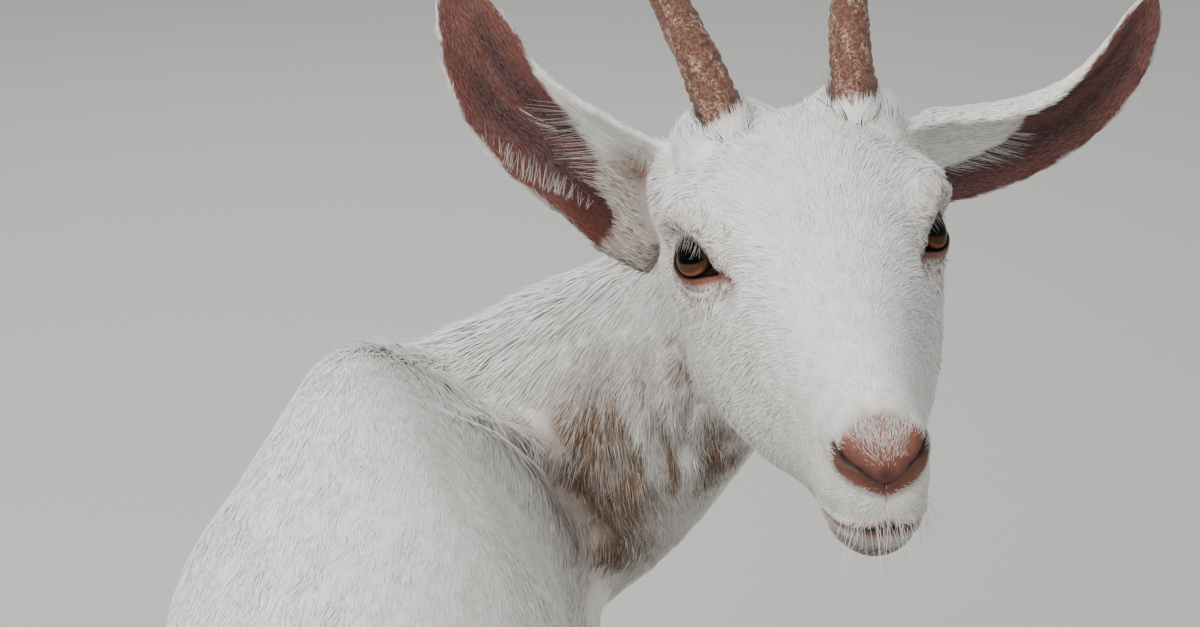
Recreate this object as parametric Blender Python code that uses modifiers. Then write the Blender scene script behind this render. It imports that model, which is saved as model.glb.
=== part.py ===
"""A young white horned goat, standing and looking back over its right shoulder.

While modelling, the ground under the withers is near the origin, -Y is the way the trunk faces,
+X is the goat's left and +Z is up, all in centimetres. At the end every piece is scaled to metres
and moved so that the origin is the middle of the underside of the whole animal.
"""
import math

import bmesh
import bpy
from mathutils import Matrix, Vector

CM = 0.01
SIDES = {"left": 1, "right": -1}

# Driving sizes of the animal, in centimetres.
WITHERS_HEIGHT = 56.0
EYE_RADIUS = 1.25
EYE_CENTRE = (3.65, -0.5, 0.28)
EYE_AXIS = (0.8, 0.5, 0.18)
# The opening between the lids: how far out from the eye's centre, and its radii (out, along, up)
LID_OPENING = 1.45
LID_RADII = (1.1, 1.3, 0.8)

# The play between pieces that touch
GAP = 0.035
# How finely the flesh is fused, how much it is relaxed, and the shares of faces kept in two rounds
VOXEL = 0.3
RELAX_ROUNDS = 14
FIRST_SHARE = 0.042
LAST_SHARE = 0.37
# The second round spares the head: a block (middle, half sides) in head coordinates, with a soft
# edge. Legs are the flesh under a height, and are thinned by this weight.
HEAD_BLOCK = ((0.0, 2.0, -1.0), (6.0, 11.5, 7.0))
HEAD_BLOCK_EDGE = 3.0
LEG_TOP = 30.0
LEG_PLAINNESS = 0.95
# Cutting leaves a few slivers shorter than this
SLIVER = 0.002
# Edges sharper than this stay sharp when shaded, in degrees
SHARP = 40

# The head's place: the point midway between the eyes, and the head's own axes.
# Head coordinates are (to the goat's right, towards the nose, towards the forehead).
HEAD_ORIGIN = Vector((-18.6, 8.3, 63.5))
FACING = Vector((-0.061, 0.998, -0.018))
CROWN = Vector((0.096, 0.024, 0.995))


def clear_scene():
    for obj in list(bpy.data.objects):
        bpy.data.objects.remove(obj, do_unlink=True)


def new_collection(name):
    collection = bpy.data.collections.new(name)
    bpy.context.scene.collection.children.link(collection)
    return collection


def new_material(name, colour, roughness):
    material = bpy.data.materials.new(name)
    material.use_nodes = True
    shader = material.node_tree.nodes["Principled BSDF"]
    shader.inputs["Base Color"].default_value = (*colour, 1.0)
    shader.inputs["Roughness"].default_value = roughness
    shader.inputs["Metallic"].default_value = 0.0
    return material


def new_object(name, mesh, collection):
    obj = bpy.data.objects.new(name, mesh)
    collection.objects.link(obj)
    return obj


def new_mesh(name, bm):
    bm.normal_update()
    bmesh.ops.recalc_face_normals(bm, faces=bm.faces)
    mesh = bpy.data.meshes.new(name)
    bm.to_mesh(mesh)
    bm.free()
    return mesh


def as_helper(obj):
    """Marks an object that only cuts or shapes others: drawn as wire, and never rendered."""
    obj.hide_render = True
    obj.display_type = "WIRE"
    return obj


def new_helper(name, bm):
    return as_helper(new_object(name, new_mesh(name, bm), helpers))


def settled_mesh(obj):
    """The object's mesh with its modifiers applied."""
    bpy.context.view_layer.update()
    graph = bpy.context.evaluated_depsgraph_get()
    return bpy.data.meshes.new_from_object(obj.evaluated_get(graph))


def cut(obj, cutter, operation="DIFFERENCE"):
    modifier = obj.modifiers.new(cutter.name, "BOOLEAN")
    modifier.operation = operation
    modifier.solver = "EXACT"
    modifier.object = cutter


# ---------------------------------------------------------------- shapes


def smooth_between(rows, steps):
    """Catmull-Rom through rows of numbers: steps new rows for each stretch, ends included."""
    ends = [rows[0], *rows, rows[-1]]
    out = []
    for i in range(len(rows) - 1):
        a, b, c, d = ends[i : i + 4]
        for k in range(steps):
            t = k / steps
            out.append(
                tuple(
                    q
                    + 0.5 * (r - p) * t
                    + 0.5 * (2 * p - 5 * q + 4 * r - s) * t * t
                    + 0.5 * (3 * q - p - 3 * r + s) * t**3
                    for p, q, r, s in zip(a, b, c, d)
                )
            )
    out.append(tuple(rows[-1]))
    return out


def lofted(rings):
    """A closed tube through rings of points, with flat ends."""
    bm = bmesh.new()
    rings = [[bm.verts.new(point) for point in ring] for ring in rings]
    count = len(rings[0])
    for lower, upper in zip(rings, rings[1:]):
        for i in range(count):
            j = (i + 1) % count
            bm.faces.new((lower[i], lower[j], upper[j], upper[i]))
    bm.faces.new(tuple(reversed(rings[0])))
    bm.faces.new(tuple(rings[-1]))
    return bm


def superellipse(angle, power):
    """A point of the unit superellipse, from the top round by the right."""
    across, up = math.sin(angle), math.cos(angle)
    return (
        math.copysign(abs(across) ** (2 / power), across),
        math.copysign(abs(up) ** (2 / power), up),
    )


def angles(count):
    return [2 * math.pi * i / count for i in range(count)]


def hull(stations, place, segments=36):
    """A loft of sections across one axis. A station is (along, top, bottom, half width above,
    half width below, squareness); place(along, across, height) gives the point."""
    rings = []
    for along, top, bottom, upper, lower, power in smooth_between(stations, 4):
        middle, half = (top + bottom) / 2, (top - bottom) / 2
        ring = []
        for angle in angles(segments):
            across, up = superellipse(angle, power)
            width = lower + (upper - lower) * (up + 1) / 2
            ring.append(place(along, across * width, middle + up * half))
        rings.append(ring)
    return lofted(rings)


def path_frames(rows, side_axis):
    """(centre, axis across, axis of depth, the row's sizes) at each row of a bent path."""
    for i, row in enumerate(rows):
        before, after = rows[max(i - 1, 0)], rows[min(i + 1, len(rows) - 1)]
        tangent = (Vector(after[:3]) - Vector(before[:3])).normalized()
        depth = tangent.cross(side_axis).normalized()
        yield Vector(row[:3]), depth.cross(tangent).normalized(), depth, row[3:]


def limb(stations, side_axis, segments=20, steps=5):
    """A tube along a bent path. A station is (x, y, z, half width to the side, half depth)."""
    rings = []
    for centre, width, depth, sizes in path_frames(smooth_between(stations, steps), side_axis):
        rings.append(
            [
                centre + width * math.cos(a) * sizes[0] + depth * math.sin(a) * sizes[1]
                for a in angles(segments)
            ]
        )
    return lofted(rings)


def ball(centre, radii, turn=(0, 0, 0), frame=Matrix.Identity(4), rings=16):
    """An ellipsoid, turned in degrees about its own X, then Y, then Z."""
    bm = bmesh.new()
    bmesh.ops.create_uvsphere(bm, u_segments=rings + rings // 2, v_segments=rings, radius=1.0)
    spin = Matrix.Identity(4)
    for degrees, axis in zip(turn, "XYZ"):
        spin = Matrix.Rotation(math.radians(degrees), 4, axis) @ spin
    bm.transform(frame @ Matrix.Translation(centre) @ spin @ Matrix.Diagonal((*radii, 1)))
    return bm


def box(corners):
    """A box-like solid from eight corners: x turns slowest and z fastest."""
    bm = bmesh.new()
    v = [bm.verts.new(corner) for corner in corners]
    for face in ((0, 1, 3, 2), (4, 6, 7, 5), (0, 4, 5, 1), (2, 3, 7, 6), (0, 2, 6, 4), (1, 5, 7, 3)):
        bm.faces.new([v[i] for i in face])
    return bm


def corners(low, high, place=Vector):
    """The eight corners between two limits, each carried by place."""
    return [
        place((x, y, z)) for x in (low[0], high[0]) for y in (low[1], high[1]) for z in (low[2], high[2])
    ]


def beyond(point, normal, reach, side, back=0.0):
    """A block on the far side of a plane through point, moved back by a little."""
    normal = Vector(normal).normalized()
    across = normal.orthogonal().normalized()
    other = normal.cross(across)
    start = Vector(point) - normal * back

    def place(p):
        return start + normal * p[0] + across * p[1] + other * p[2]

    return box(corners((0, -side, -side), (reach, side, side), place))


# ---------------------------------------------------------------- trunk

# The spine bends to the right in plan as the goat looks back, and the chest leans to the left.
SPINE_START = -2.7
TURN_AT_WITHERS = 1.5
TURN_PER_CM = -0.8
TURN_FROM, TURN_TO = 8.0, 38.0
LEAN_AT_WITHERS = 2.4
LEAN_PER_CM = -0.06
LEAN_FROM = 44.0

# (behind the withers, back, belly, half width above, half width below, squareness)
TRUNK = [
    (-14.6, 42.0, 37.5, 1.6, 1.8, 2.0),
    (-12.8, 46.0, 34.6, 4.0, 4.6, 2.0),
    (-9.0, 50.4, 32.8, 5.4, 6.4, 2.1),
    (-4.0, 54.4, 31.6, 5.3, 7.6, 2.0),
    (0.0, 55.9, 31.0, 5.2, 8.4, 2.0),
    (5.0, 55.5, 30.6, 6.7, 9.2, 2.2),
    (8.6, 54.9, 30.3, 8.2, 9.5, 2.4),
    (13.0, 54.4, 30.2, 8.4, 9.8, 2.3),
    (20.0, 53.9, 30.2, 8.4, 10.2, 2.3),
    (27.0, 54.1, 31.6, 7.8, 10.0, 2.3),
    (32.0, 54.7, 33.8, 7.2, 8.8, 2.2),
    (37.0, 55.0, 36.4, 7.0, 7.6, 2.1),
    (42.0, 53.8, 37.6, 6.2, 6.6, 2.1),
    (46.0, 51.2, 39.4, 4.6, 5.2, 2.0),
    (48.6, 47.6, 42.6, 2.2, 2.8, 2.0),
]

# Muscle on each side: (behind the withers, out from the middle, height, half width, half depth)
BLADE = [
    (2.2, 2.4, 53.4, 0.6, 1.2),
    (1.2, 3.5, 51.4, 1.1, 2.8),
    (-1.0, 4.9, 48.0, 1.6, 4.2),
    (-3.6, 5.8, 44.0, 2.0, 4.5),
    (-6.4, 5.9, 39.8, 2.0, 3.6),
    (-7.8, 5.4, 37.2, 1.5, 2.2),
]
UPPER_ARM = [
    (-7.8, 5.6, 39.6, 1.5, 2.2),
    (-5.6, 6.1, 38.4, 2.2, 3.6),
    (-2.8, 6.4, 36.8, 2.4, 4.0),
    (-0.4, 6.3, 34.8, 2.2, 3.4),
    (0.0, 6.1, 32.0, 1.6, 2.6),
]
THIGH = [
    (39.0, 3.6, 52.6, 1.6, 3.0),
    (39.5, 4.9, 49.6, 2.4, 5.4),
    (39.4, 5.7, 45.2, 2.9, 6.9),
    (38.5, 6.1, 40.0, 2.9, 6.4),
    (36.6, 6.3, 35.5, 2.5, 4.6),
]


def turn_of(behind):
    bent = min(max(behind, TURN_FROM), TURN_TO) - TURN_FROM
    return math.radians(TURN_AT_WITHERS + TURN_PER_CM * bent)


def on_trunk(behind, across, height):
    """A point of the bent trunk; across is towards the goat's left."""
    x, y, steps = SPINE_START, 0.0, 40
    for i in range(steps):
        turn = turn_of(behind * (i + 0.5) / steps)
        x += math.sin(turn) * behind / steps
        y += math.cos(turn) * behind / steps
    lean = max(LEAN_AT_WITHERS + LEAN_PER_CM * max(behind, 0), 0)
    across += lean * max(height - LEAN_FROM, 0) / (WITHERS_HEIGHT - LEAN_FROM)
    turn = turn_of(behind)
    return Vector((x + across * math.cos(turn), y - across * math.sin(turn), height))


def placed(rows, side):
    """Rows of one side of the body, put where the bent trunk carries them."""
    return [(*on_trunk(s, side * out, z), *sizes) for s, out, z, *sizes in rows]


def across_trunk(side, slope=0.0):
    return Vector((side, 0, slope * side))


def trunk_masses():
    yield hull(TRUNK, on_trunk)
    yield ball(on_trunk(-10.4, 0, 36.6), (3.4, 4.4, 3.8))
    for side in SIDES.values():
        for rows in (BLADE, UPPER_ARM, THIGH):
            yield limb(placed(rows, side), across_trunk(side, 0.15))
        yield ball(on_trunk(36.5, side * 4.4, 51.7), (2.2, 3.6, 2.0))  # point of the hip
        yield ball(on_trunk(45.8, side * 2.9, 48.6), (2.1, 2.6, 2.4))  # point of the buttock


# ---------------------------------------------------------------- legs

# (behind the withers, out from the middle, height, half width, half depth)
FORELEG = [
    (-0.8, 6.4, 37.0, 2.7, 4.1),
    (-0.6, 6.2, 33.0, 2.5, 3.5),
    (-1.4, 5.9, 28.5, 2.05, 2.7),
    (-2.2, 5.7, 23.5, 1.75, 2.0),
    (-2.6, 5.6, 20.2, 1.95, 2.1),
    (-2.5, 5.6, 17.4, 1.5, 1.7),
    (-2.3, 5.6, 12.5, 1.3, 1.5),
    (-2.2, 5.6, 9.2, 1.5, 1.65),
    (-2.3, 5.6, 7.4, 1.75, 1.9),
    (-3.0, 5.6, 5.2, 1.75, 1.6),
    (-3.7, 5.6, 3.2, 2.1, 1.8),
    (-4.0, 5.6, 0.6, 2.1, 1.8),
]
HINDLEG = [
    (37.5, 6.2, 41.0, 3.0, 6.0),
    (36.4, 6.4, 36.0, 2.7, 4.8),
    (38.2, 6.4, 31.0, 2.4, 3.8),
    (41.4, 6.1, 26.6, 1.95, 2.6),
    (44.0, 5.9, 23.2, 1.75, 2.2),
    (45.2, 5.8, 20.8, 1.85, 2.4),
    (45.0, 5.8, 18.0, 1.55, 1.95),
    (44.5, 5.8, 13.0, 1.35, 1.6),
    (44.1, 5.8, 9.4, 1.55, 1.75),
    (43.8, 5.8, 7.6, 1.8, 1.95),
    (43.1, 5.8, 5.3, 1.75, 1.6),
    (42.4, 5.8, 3.2, 2.1, 1.8),
    (42.1, 5.8, 0.6, 2.1, 1.8),
]
HEEL_CORD = [
    (42.6, 6.0, 27.4, 1.0, 1.1),
    (45.3, 5.9, 24.6, 0.9, 1.0),
    (46.6, 5.8, 22.2, 1.1, 1.2),
    (46.3, 5.8, 19.6, 1.0, 1.1),
]
LEGS = {"foreleg": FORELEG, "hindleg": HINDLEG}
# Where each leg is parted from the trunk: limits behind, out from the middle, and the height
LEG_ZONES = {"foreleg": ((-7.2, 4.6), (2.7, 13.0), 33.6), "hindleg": ((29.0, 51.0), (0.5, 14.0), 38.0)}


def leg_masses():
    for side in SIDES.values():
        yield limb(placed(FORELEG, side), across_trunk(side))
        yield limb(placed(HINDLEG, side), across_trunk(side))
        yield limb(placed(HEEL_CORD, side), across_trunk(side))
        yield ball(on_trunk(1.8, side * 6.0, 34.4), (1.3, 1.6, 1.8))  # point of the elbow


def foot_frame(kind, side):
    """Carries foot coordinates (out, forwards, up), from the middle of the hoof on the ground."""
    behind, out = LEGS[kind][-1][:2]
    centre = on_trunk(behind - 0.5, side * out, 0.0)
    turn = turn_of(behind)
    forward = Vector((-math.sin(turn), -math.cos(turn), 0))
    outward = Vector((math.cos(turn), -math.sin(turn), 0)) * side
    axes = Matrix((outward, forward, Vector((0, 0, 1)))).transposed().to_4x4()
    return Matrix.Translation(centre) @ axes


# ---------------------------------------------------------------- neck and tail

# The throat is wider, and the crest narrower, than the neck's half width by this share
THROAT_WIDER = 0.2
# (x, y, z, half width, half depth); it leaves the shoulders forwards and curls round to the right
NECK = [
    (-2.0, 0.5, 43.6, 5.1, 9.6),
    (-2.8, -4.0, 43.7, 5.3, 9.8),
    (-4.4, -7.2, 44.1, 5.2, 9.2),
    (-8.0, -8.3, 45.9, 4.8, 8.1),
    (-12.0, -7.2, 49.7, 4.4, 6.7),
    (-15.4, -4.8, 54.0, 4.1, 5.3),
    (-17.6, -2.0, 57.7, 4.0, 5.1),
    (-18.5, 1.2, 60.0, 3.7, 5.0),
]
# (behind the withers, height, half width, half thickness)
TAIL = [
    (45.6, 50.4, 2.0, 1.7),
    (48.4, 52.0, 1.9, 1.5),
    (50.4, 54.4, 2.0, 1.35),
    (51.4, 57.2, 1.8, 1.15),
    (51.6, 59.8, 1.2, 0.8),
    (51.5, 61.2, 0.6, 0.45),
]


def neck_masses():
    up = Vector((0, 0, 1))
    rings = []
    rows = smooth_between(NECK, 6)
    for i, row in enumerate(rows):
        before, after = rows[max(i - 1, 0)], rows[min(i + 1, len(rows) - 1)]
        tangent = (Vector(after[:3]) - Vector(before[:3])).normalized()
        width_axis = tangent.cross(up).normalized()
        depth_axis = width_axis.cross(tangent).normalized()
        ring = []
        for angle in angles(32):
            width = row[3] * (1 - THROAT_WIDER * math.cos(angle))
            offset = width_axis * math.sin(angle) * width + depth_axis * math.cos(angle) * row[4]
            ring.append(Vector(row[:3]) + offset)
        rings.append(ring)
    yield lofted(rings)


def tail_masses():
    yield limb([(*on_trunk(s, 0, z), w, d) for s, z, w, d in TAIL], across_trunk(1))


# ---------------------------------------------------------------- head

# (towards the nose, top, bottom, half width above, half width below, squareness)
SKULL = [
    (-9.4, 0.6, -5.2, 2.2, 2.6, 2.0),
    (-8.2, 2.1, -6.6, 3.4, 3.5, 2.1),
    (-6.2, 3.3, -7.4, 4.2, 4.3, 2.3),
    (-3.8, 4.1, -7.7, 4.8, 4.5, 2.5),
    (-1.2, 3.95, -7.6, 5.0, 4.6, 2.6),
    (1.2, 3.35, -7.2, 4.4, 4.4, 2.6),
    (3.6, 2.55, -6.7, 3.5, 3.8, 2.6),
    (6.2, 1.9, -6.0, 2.75, 2.85, 2.4),
    (8.8, 1.4, -5.4, 2.15, 2.05, 2.3),
    (10.8, 1.0, -5.2, 1.75, 1.6, 2.2),
    (12.2, 0.4, -4.7, 1.5, 1.35, 2.1),
    (13.2, -0.5, -3.4, 0.9, 0.9, 2.0),
]

# Both sides: (centre, radii, turn)
HEAD_PAIRS = [
    ((3.2, -1.6, 1.3), (2.3, 3.6, 1.8), (0, 12, -6)),  # brow over the eye
    ((3.6, -2.8, -1.2), (1.8, 3.8, 1.8), (6, 0, 4)),  # cheekbone arch
    ((2.9, 2.4, -0.9), (1.1, 3.2, 1.2), (8, 0, 17)),  # rim of bone under the eye
    ((2.6, -3.2, -4.4), (2.1, 3.6, 3.0), (-20, 0, 0)),  # chewing muscle
    ((0.8, 10.5, -2.6), (1.05, 2.0, 1.3), (0, 0, 6)),  # upper lip
    ((0.85, 12.1, -0.7), (0.8, 1.05, 0.75), (0, 0, 15)),  # wing of the nostril
    ((2.2, -5.0, 2.9), (2.3, 2.3, 1.5), (0, 0, 0)),  # boss that carries the horn
    ((3.8, -6.4, 0.4), (1.7, 1.9, 2.6), (0, 0, 0)),  # root of the ear
]
HEAD_MIDDLE = [
    ((0, 10.3, -4.3), (1.5, 1.8, 1.2), (0, 0, 0)),  # chin
    ((0, 12.3, -1.0), (1.1, 0.95, 1.15), (0, 0, 0)),  # nose pad
    ((0, -7.4, 1.0), (2.8, 1.8, 1.8), (0, 0, 0)),  # poll
    ((0, -5.0, -5.0), (2.8, 4.2, 3.2), (0, 0, 0)),  # throat
]


def head_frame():
    """Carries head coordinates to the modelling frame."""
    forward = FACING.normalized()
    right = forward.cross(CROWN).normalized()
    up = right.cross(forward)
    axes = Matrix((right, forward, up)).transposed().to_4x4()
    return Matrix.Translation(HEAD_ORIGIN) @ axes


HEAD = head_frame()


def head_masses():
    yield hull(SKULL, lambda y, x, z: HEAD @ Vector((x, y, z)))
    for (x, y, z), radii, (pitch, roll, yaw) in HEAD_PAIRS:
        for side in (1, -1):
            yield ball((side * x, y, z), radii, (pitch, side * roll, side * yaw), HEAD)
    for centre, radii, turn in HEAD_MIDDLE:
        yield ball(centre, radii, turn, HEAD)


def eye_frame(side):
    """Carries eye coordinates (out of the eye, along the lids, up) to the modelling frame."""
    out = Vector((side * EYE_AXIS[0], *EYE_AXIS[1:])).normalized()
    along = Vector((0, 0, 1)).cross(out).normalized()
    axes = Matrix((out, along, out.cross(along))).transposed().to_4x4()
    return HEAD @ Matrix.Translation(Vector((side * EYE_CENTRE[0], *EYE_CENTRE[1:]))) @ axes


# The ears. A row is (right, nose, forehead) of the middle of the ear in head coordinates, then the
# half width, the depth of the cup, and how far the open side turns: 0 faces the nose, 90 the ground.
EARS = {
    "right": [
        (4.0, -6.0, -0.9, 3.1, 1.3, 16),
        (5.5, -6.1, 0.15, 2.8, 1.6, 12),
        (7.3, -6.3, 1.7, 2.3, 1.6, 6),
        (9.05, -6.7, 3.1, 2.1, 1.3, 0),
        (10.45, -7.1, 4.8, 1.85, 1.0, -4),
        (11.2, -7.6, 6.7, 1.6, 0.7, -6),
        (11.7, -8.2, 8.5, 1.0, 0.4, -6),
        (11.8, -8.7, 9.7, 0.35, 0.15, -6),
    ],
    "left": [
        (-4.0, -6.2, 0.3, 2.3, 1.3, 24),
        (-5.6, -6.5, 0.4, 2.6, 1.7, 28),
        (-7.6, -6.8, 0.25, 2.65, 1.8, 32),
        (-9.8, -7.2, 0.5, 2.5, 1.55, 34),
        (-11.9, -7.7, 1.3, 2.1, 1.15, 34),
        (-13.6, -8.3, 2.7, 1.55, 0.75, 30),
        (-14.7, -8.9, 4.3, 0.95, 0.45, 24),
        (-15.2, -9.4, 5.3, 0.35, 0.15, 20),
    ],
}
EAR_THICKNESS = (0.5, 0.3)
# Points across each face of an ear, the thickness of its rim as a share, and the roundness of the cup
EAR_POINTS = 7
EAR_RIM = 0.1
EAR_ROUNDNESS = 0.75


def ear_solid(side):
    """A cupped leaf: each section is a crescent, thicker at the fold than at the rims."""
    rows = smooth_between(EARS[side], 2)
    rings = []
    for i, row in enumerate(rows):
        before, after = rows[max(i - 1, 0)], rows[min(i + 1, len(rows) - 1)]
        along = (Vector(after[:3]) - Vector(before[:3])).normalized()
        half, cup, turn = row[3:]
        turn = math.radians(turn)
        facing = Vector((0, math.cos(turn), -math.sin(turn)))
        facing = (facing - along * facing.dot(along)).normalized()
        across = along.cross(facing)
        share = i / (len(rows) - 1)
        thick = EAR_THICKNESS[0] + (EAR_THICKNESS[1] - EAR_THICKNESS[0]) * share
        outer, inner = [], []
        for k in range(EAR_POINTS):
            t = -1 + 2 * k / (EAR_POINTS - 1)
            lift = (1 - t * t) ** EAR_ROUNDNESS
            half_thick = thick * (EAR_RIM + (1 - EAR_RIM) * lift) / 2
            outer.append(across * t * half - facing * (cup * lift + half_thick))
            inner.append(across * t * half * 0.93 - facing * (cup * lift - half_thick - 0.02))
        ring = outer + inner[::-1]
        rings.append([HEAD @ (Vector(row[:3]) + p) for p in ring])
    return lofted(rings)


# The horns, from inside the skull to the tip: (right, nose, forehead, half across, half deep)
HORNS = {
    "right": [
        (2.2, -4.2, 3.0, 0.86, 1.2),
        (2.6, -4.9, 4.5, 0.86, 1.2),
        (3.3, -6.0, 6.4, 0.76, 1.05),
        (4.0, -7.3, 8.1, 0.66, 0.92),
        (4.8, -9.2, 9.7, 0.54, 0.76),
        (5.6, -11.6, 10.9, 0.4, 0.56),
        (6.3, -14.2, 11.5, 0.24, 0.34),
        (6.7, -15.9, 11.6, 0.1, 0.12),
    ],
    "left": [
        (-2.3, -4.2, 3.0, 0.84, 1.2),
        (-2.5, -4.9, 4.4, 0.84, 1.2),
        (-2.6, -6.0, 6.0, 0.75, 1.05),
        (-2.9, -7.4, 7.5, 0.65, 0.92),
        (-3.4, -9.4, 9.0, 0.53, 0.76),
        (-4.0, -11.8, 10.1, 0.4, 0.56),
        (-4.6, -14.4, 10.7, 0.24, 0.34),
        (-4.9, -16.1, 10.8, 0.1, 0.12),
    ],
}


def horn_solid(side, play=0.0):
    rows = [(*(HEAD @ Vector(row[:3])), row[3] + play, row[4] + play) for row in HORNS[side]]
    across = HEAD.to_3x3() @ Vector((1, 0, 0))
    return limb(rows, across, segments=10, steps=2)


# ---------------------------------------------------------------- hooves

# (height, toe, heel, half width of the pair of claws) from the middle of the foot
CLAW = [
    (0.0, 2.9, -1.9, 1.95),
    (0.5, 2.85, -1.95, 1.95),
    (1.8, 2.4, -1.75, 1.85),
    (4.2, 1.5, -1.6, 1.7),
]
# The hairline slopes down to the heel: a point on it and its upward normal, in foot coordinates
CORONET = ((0, 1.6, 3.1), (0, -0.3, 1.0))
CLEFT = 0.12
CLAW_ROUNDNESS = 0.75
# (out, forwards, up) in foot coordinates
DEWCLAW = (1.0, -2.5, 5.6)
DEWCLAW_RADII = (0.5, 0.6, 0.75)


def claw_solid(frame, outer):
    """One of the two claws: flat towards the cleft, round outside, flat on the ground."""
    rings = []
    for height, toe, heel, width in CLAW:
        middle, half = (toe + heel) / 2, (toe - heel) / 2
        ring = []
        for k in range(8):
            angle = math.pi * k / 7
            out = max(math.sin(angle), 0) ** CLAW_ROUNDNESS * (width - CLEFT) + CLEFT
            ring.append(frame @ Vector((outer * out, middle + math.cos(angle) * half, height)))
        rings.append(ring)
    return lofted(rings)


def dewclaw_solid(frame, outer, play=0.0):
    out, forward, up = DEWCLAW
    radii = [radius + play for radius in DEWCLAW_RADII]
    return ball((outer * out, forward, up), radii, frame=frame, rings=4)


# ---------------------------------------------------------------- where the pieces part

# The head parts from the neck along a plane from the poll to the throat: y = at + slope * z.
HEAD_PART = (-8.5, -0.37)
NECK_ROOT = (-3.0, -5.2, 50.0)
NECK_ROOT_NORMAL = (-0.45, -0.75, 0.48)
UPPER_NECK = ((-34.0, -20.0, 49.0), (-12.5, 6.0, 80.0))
TAIL_ROOT = (48.8, 51.9)
TAIL_RISE = 0.88
LEG_REACH = 50.0


def head_zone(play=0.0):
    low, high = (-7.2, -1.0, -11.0), (7.2, 22.0, 13.0)

    def place(p):
        x, y, z = p
        if y < 0:
            y = HEAD_PART[0] + HEAD_PART[1] * z - play
        return HEAD @ Vector((x, y, z))

    return new_helper("head_zone", box(corners(low, high, place)))


def neck_zone(play=0.0):
    """Everything in front of the line from the withers to the breastbone, and the upper neck."""
    (x, y, z), high = UPPER_NECK
    upper = box(corners((x, y, z - play), (high[0] + play, high[1], high[2])))
    zone = new_helper("lower_neck_zone", beyond(NECK_ROOT, NECK_ROOT_NORMAL, 40, 45, play))
    cut(zone, new_helper("upper_neck_zone", upper), "UNION")
    return as_helper(new_object("neck_zone", settled_mesh(zone), helpers))


def tail_zone(play=0.0):
    behind, height = TAIL_ROOT
    root = on_trunk(behind, 0, height)
    back = (on_trunk(behind + 1, 0, height) - root).normalized()
    block = beyond(root, back + Vector((0, 0, TAIL_RISE)), 14, 9, play)
    return new_helper("tail_zone", block)


def leg_zone(kind, side, play=0.0):
    (front, rear), (inner, outer), top = LEG_ZONES[kind]
    low, high = (front - play, inner - play, -2), (rear + play, outer, top + play)
    block = box(corners(low, high, lambda p: on_trunk(p[0], side * p[1], p[2])))
    return new_helper(f"{kind}_zone", block)


def coronet_zone(frame, up, play=0.0):
    """The block above or below the hairline of a hoof."""
    point, normal = CORONET
    block = beyond(point, Vector(normal) * up, LEG_REACH, LEG_REACH, play)
    block.transform(frame)
    return new_helper("coronet_zone", block)


# ---------------------------------------------------------------- the flesh


def fused_flesh():
    """Every mass of flesh, fused by a voxel remesh and relaxed."""
    masses = bmesh.new()
    for make in (trunk_masses, leg_masses, neck_masses, tail_masses, head_masses):
        for bm in make():
            masses.from_mesh(new_mesh("mass", bm))
    obj = new_helper("flesh_masses", masses)
    fuse = obj.modifiers.new("fuse", "REMESH")
    fuse.mode = "VOXEL"
    fuse.voxel_size = VOXEL
    relax = obj.modifiers.new("relax", "SMOOTH")
    relax.factor = 0.5
    relax.iterations = RELAX_ROUNDS
    return settled_mesh(obj)


def thinned_flesh():
    """A light mesh of the flesh: thinned everywhere, then again except on the head and feet."""
    obj = as_helper(new_object("flesh", fused_flesh(), helpers))
    group = obj.vertex_groups.new(name="plain")
    to_head = HEAD.inverted()
    middle, half_sides = HEAD_BLOCK
    for vertex in obj.data.vertices:
        from_middle = to_head @ vertex.co - Vector(middle)
        past_head = max(abs(d) - half for d, half in zip(from_middle, half_sides))
        plain = min(max(past_head / HEAD_BLOCK_EDGE, 0), 1)
        if vertex.co.z < LEG_TOP:
            plain = LEG_PLAINNESS
        group.add([vertex.index], plain, "REPLACE")
    for share, weighted in ((FIRST_SHARE, False), (LAST_SHARE, True)):
        thin = obj.modifiers.new("thin", "DECIMATE")
        thin.ratio = share
        if weighted:
            thin.vertex_group = group.name
            thin.vertex_group_factor = 1.0
    return settled_mesh(obj)


def flesh_piece(name, keep, remove=()):
    """A part of the flesh: what lies in the keep zones, less the others."""
    obj = as_helper(new_object(name + "_uncut", flesh.copy(), helpers))
    for zone in keep:
        cut(obj, zone, "INTERSECT")
    for zone in remove:
        cut(obj, zone)
    return obj


def swollen(mesh, play):
    """The same surface, moved out along its normals."""
    obj = as_helper(new_object("swollen", mesh, helpers))
    swell = obj.modifiers.new("swell", "DISPLACE")
    swell.strength = play
    swell.mid_level = 0.0
    return as_helper(new_object("swollen_flesh", settled_mesh(obj), helpers))


def without_slivers(mesh):
    bm = bmesh.new()
    bm.from_mesh(mesh)
    bmesh.ops.remove_doubles(bm, verts=bm.verts, dist=SLIVER)
    bmesh.ops.dissolve_degenerate(bm, edges=bm.edges, dist=SLIVER)
    bmesh.ops.triangulate(bm, faces=bm.faces)
    bm.to_mesh(mesh)
    bm.free()
    return mesh


# ---------------------------------------------------------------- the pieces

COAT = ((0.83, 0.82, 0.79), 0.8)
HORN = ((0.34, 0.2, 0.12), 0.55)
HOOF = ((0.33, 0.27, 0.2), 0.5)
EYE = ((0.2, 0.11, 0.05), 0.1)

clear_scene()
goat = new_collection("goat")
helpers = new_collection("helpers")
flesh = thinned_flesh()
uncut = {}

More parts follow.
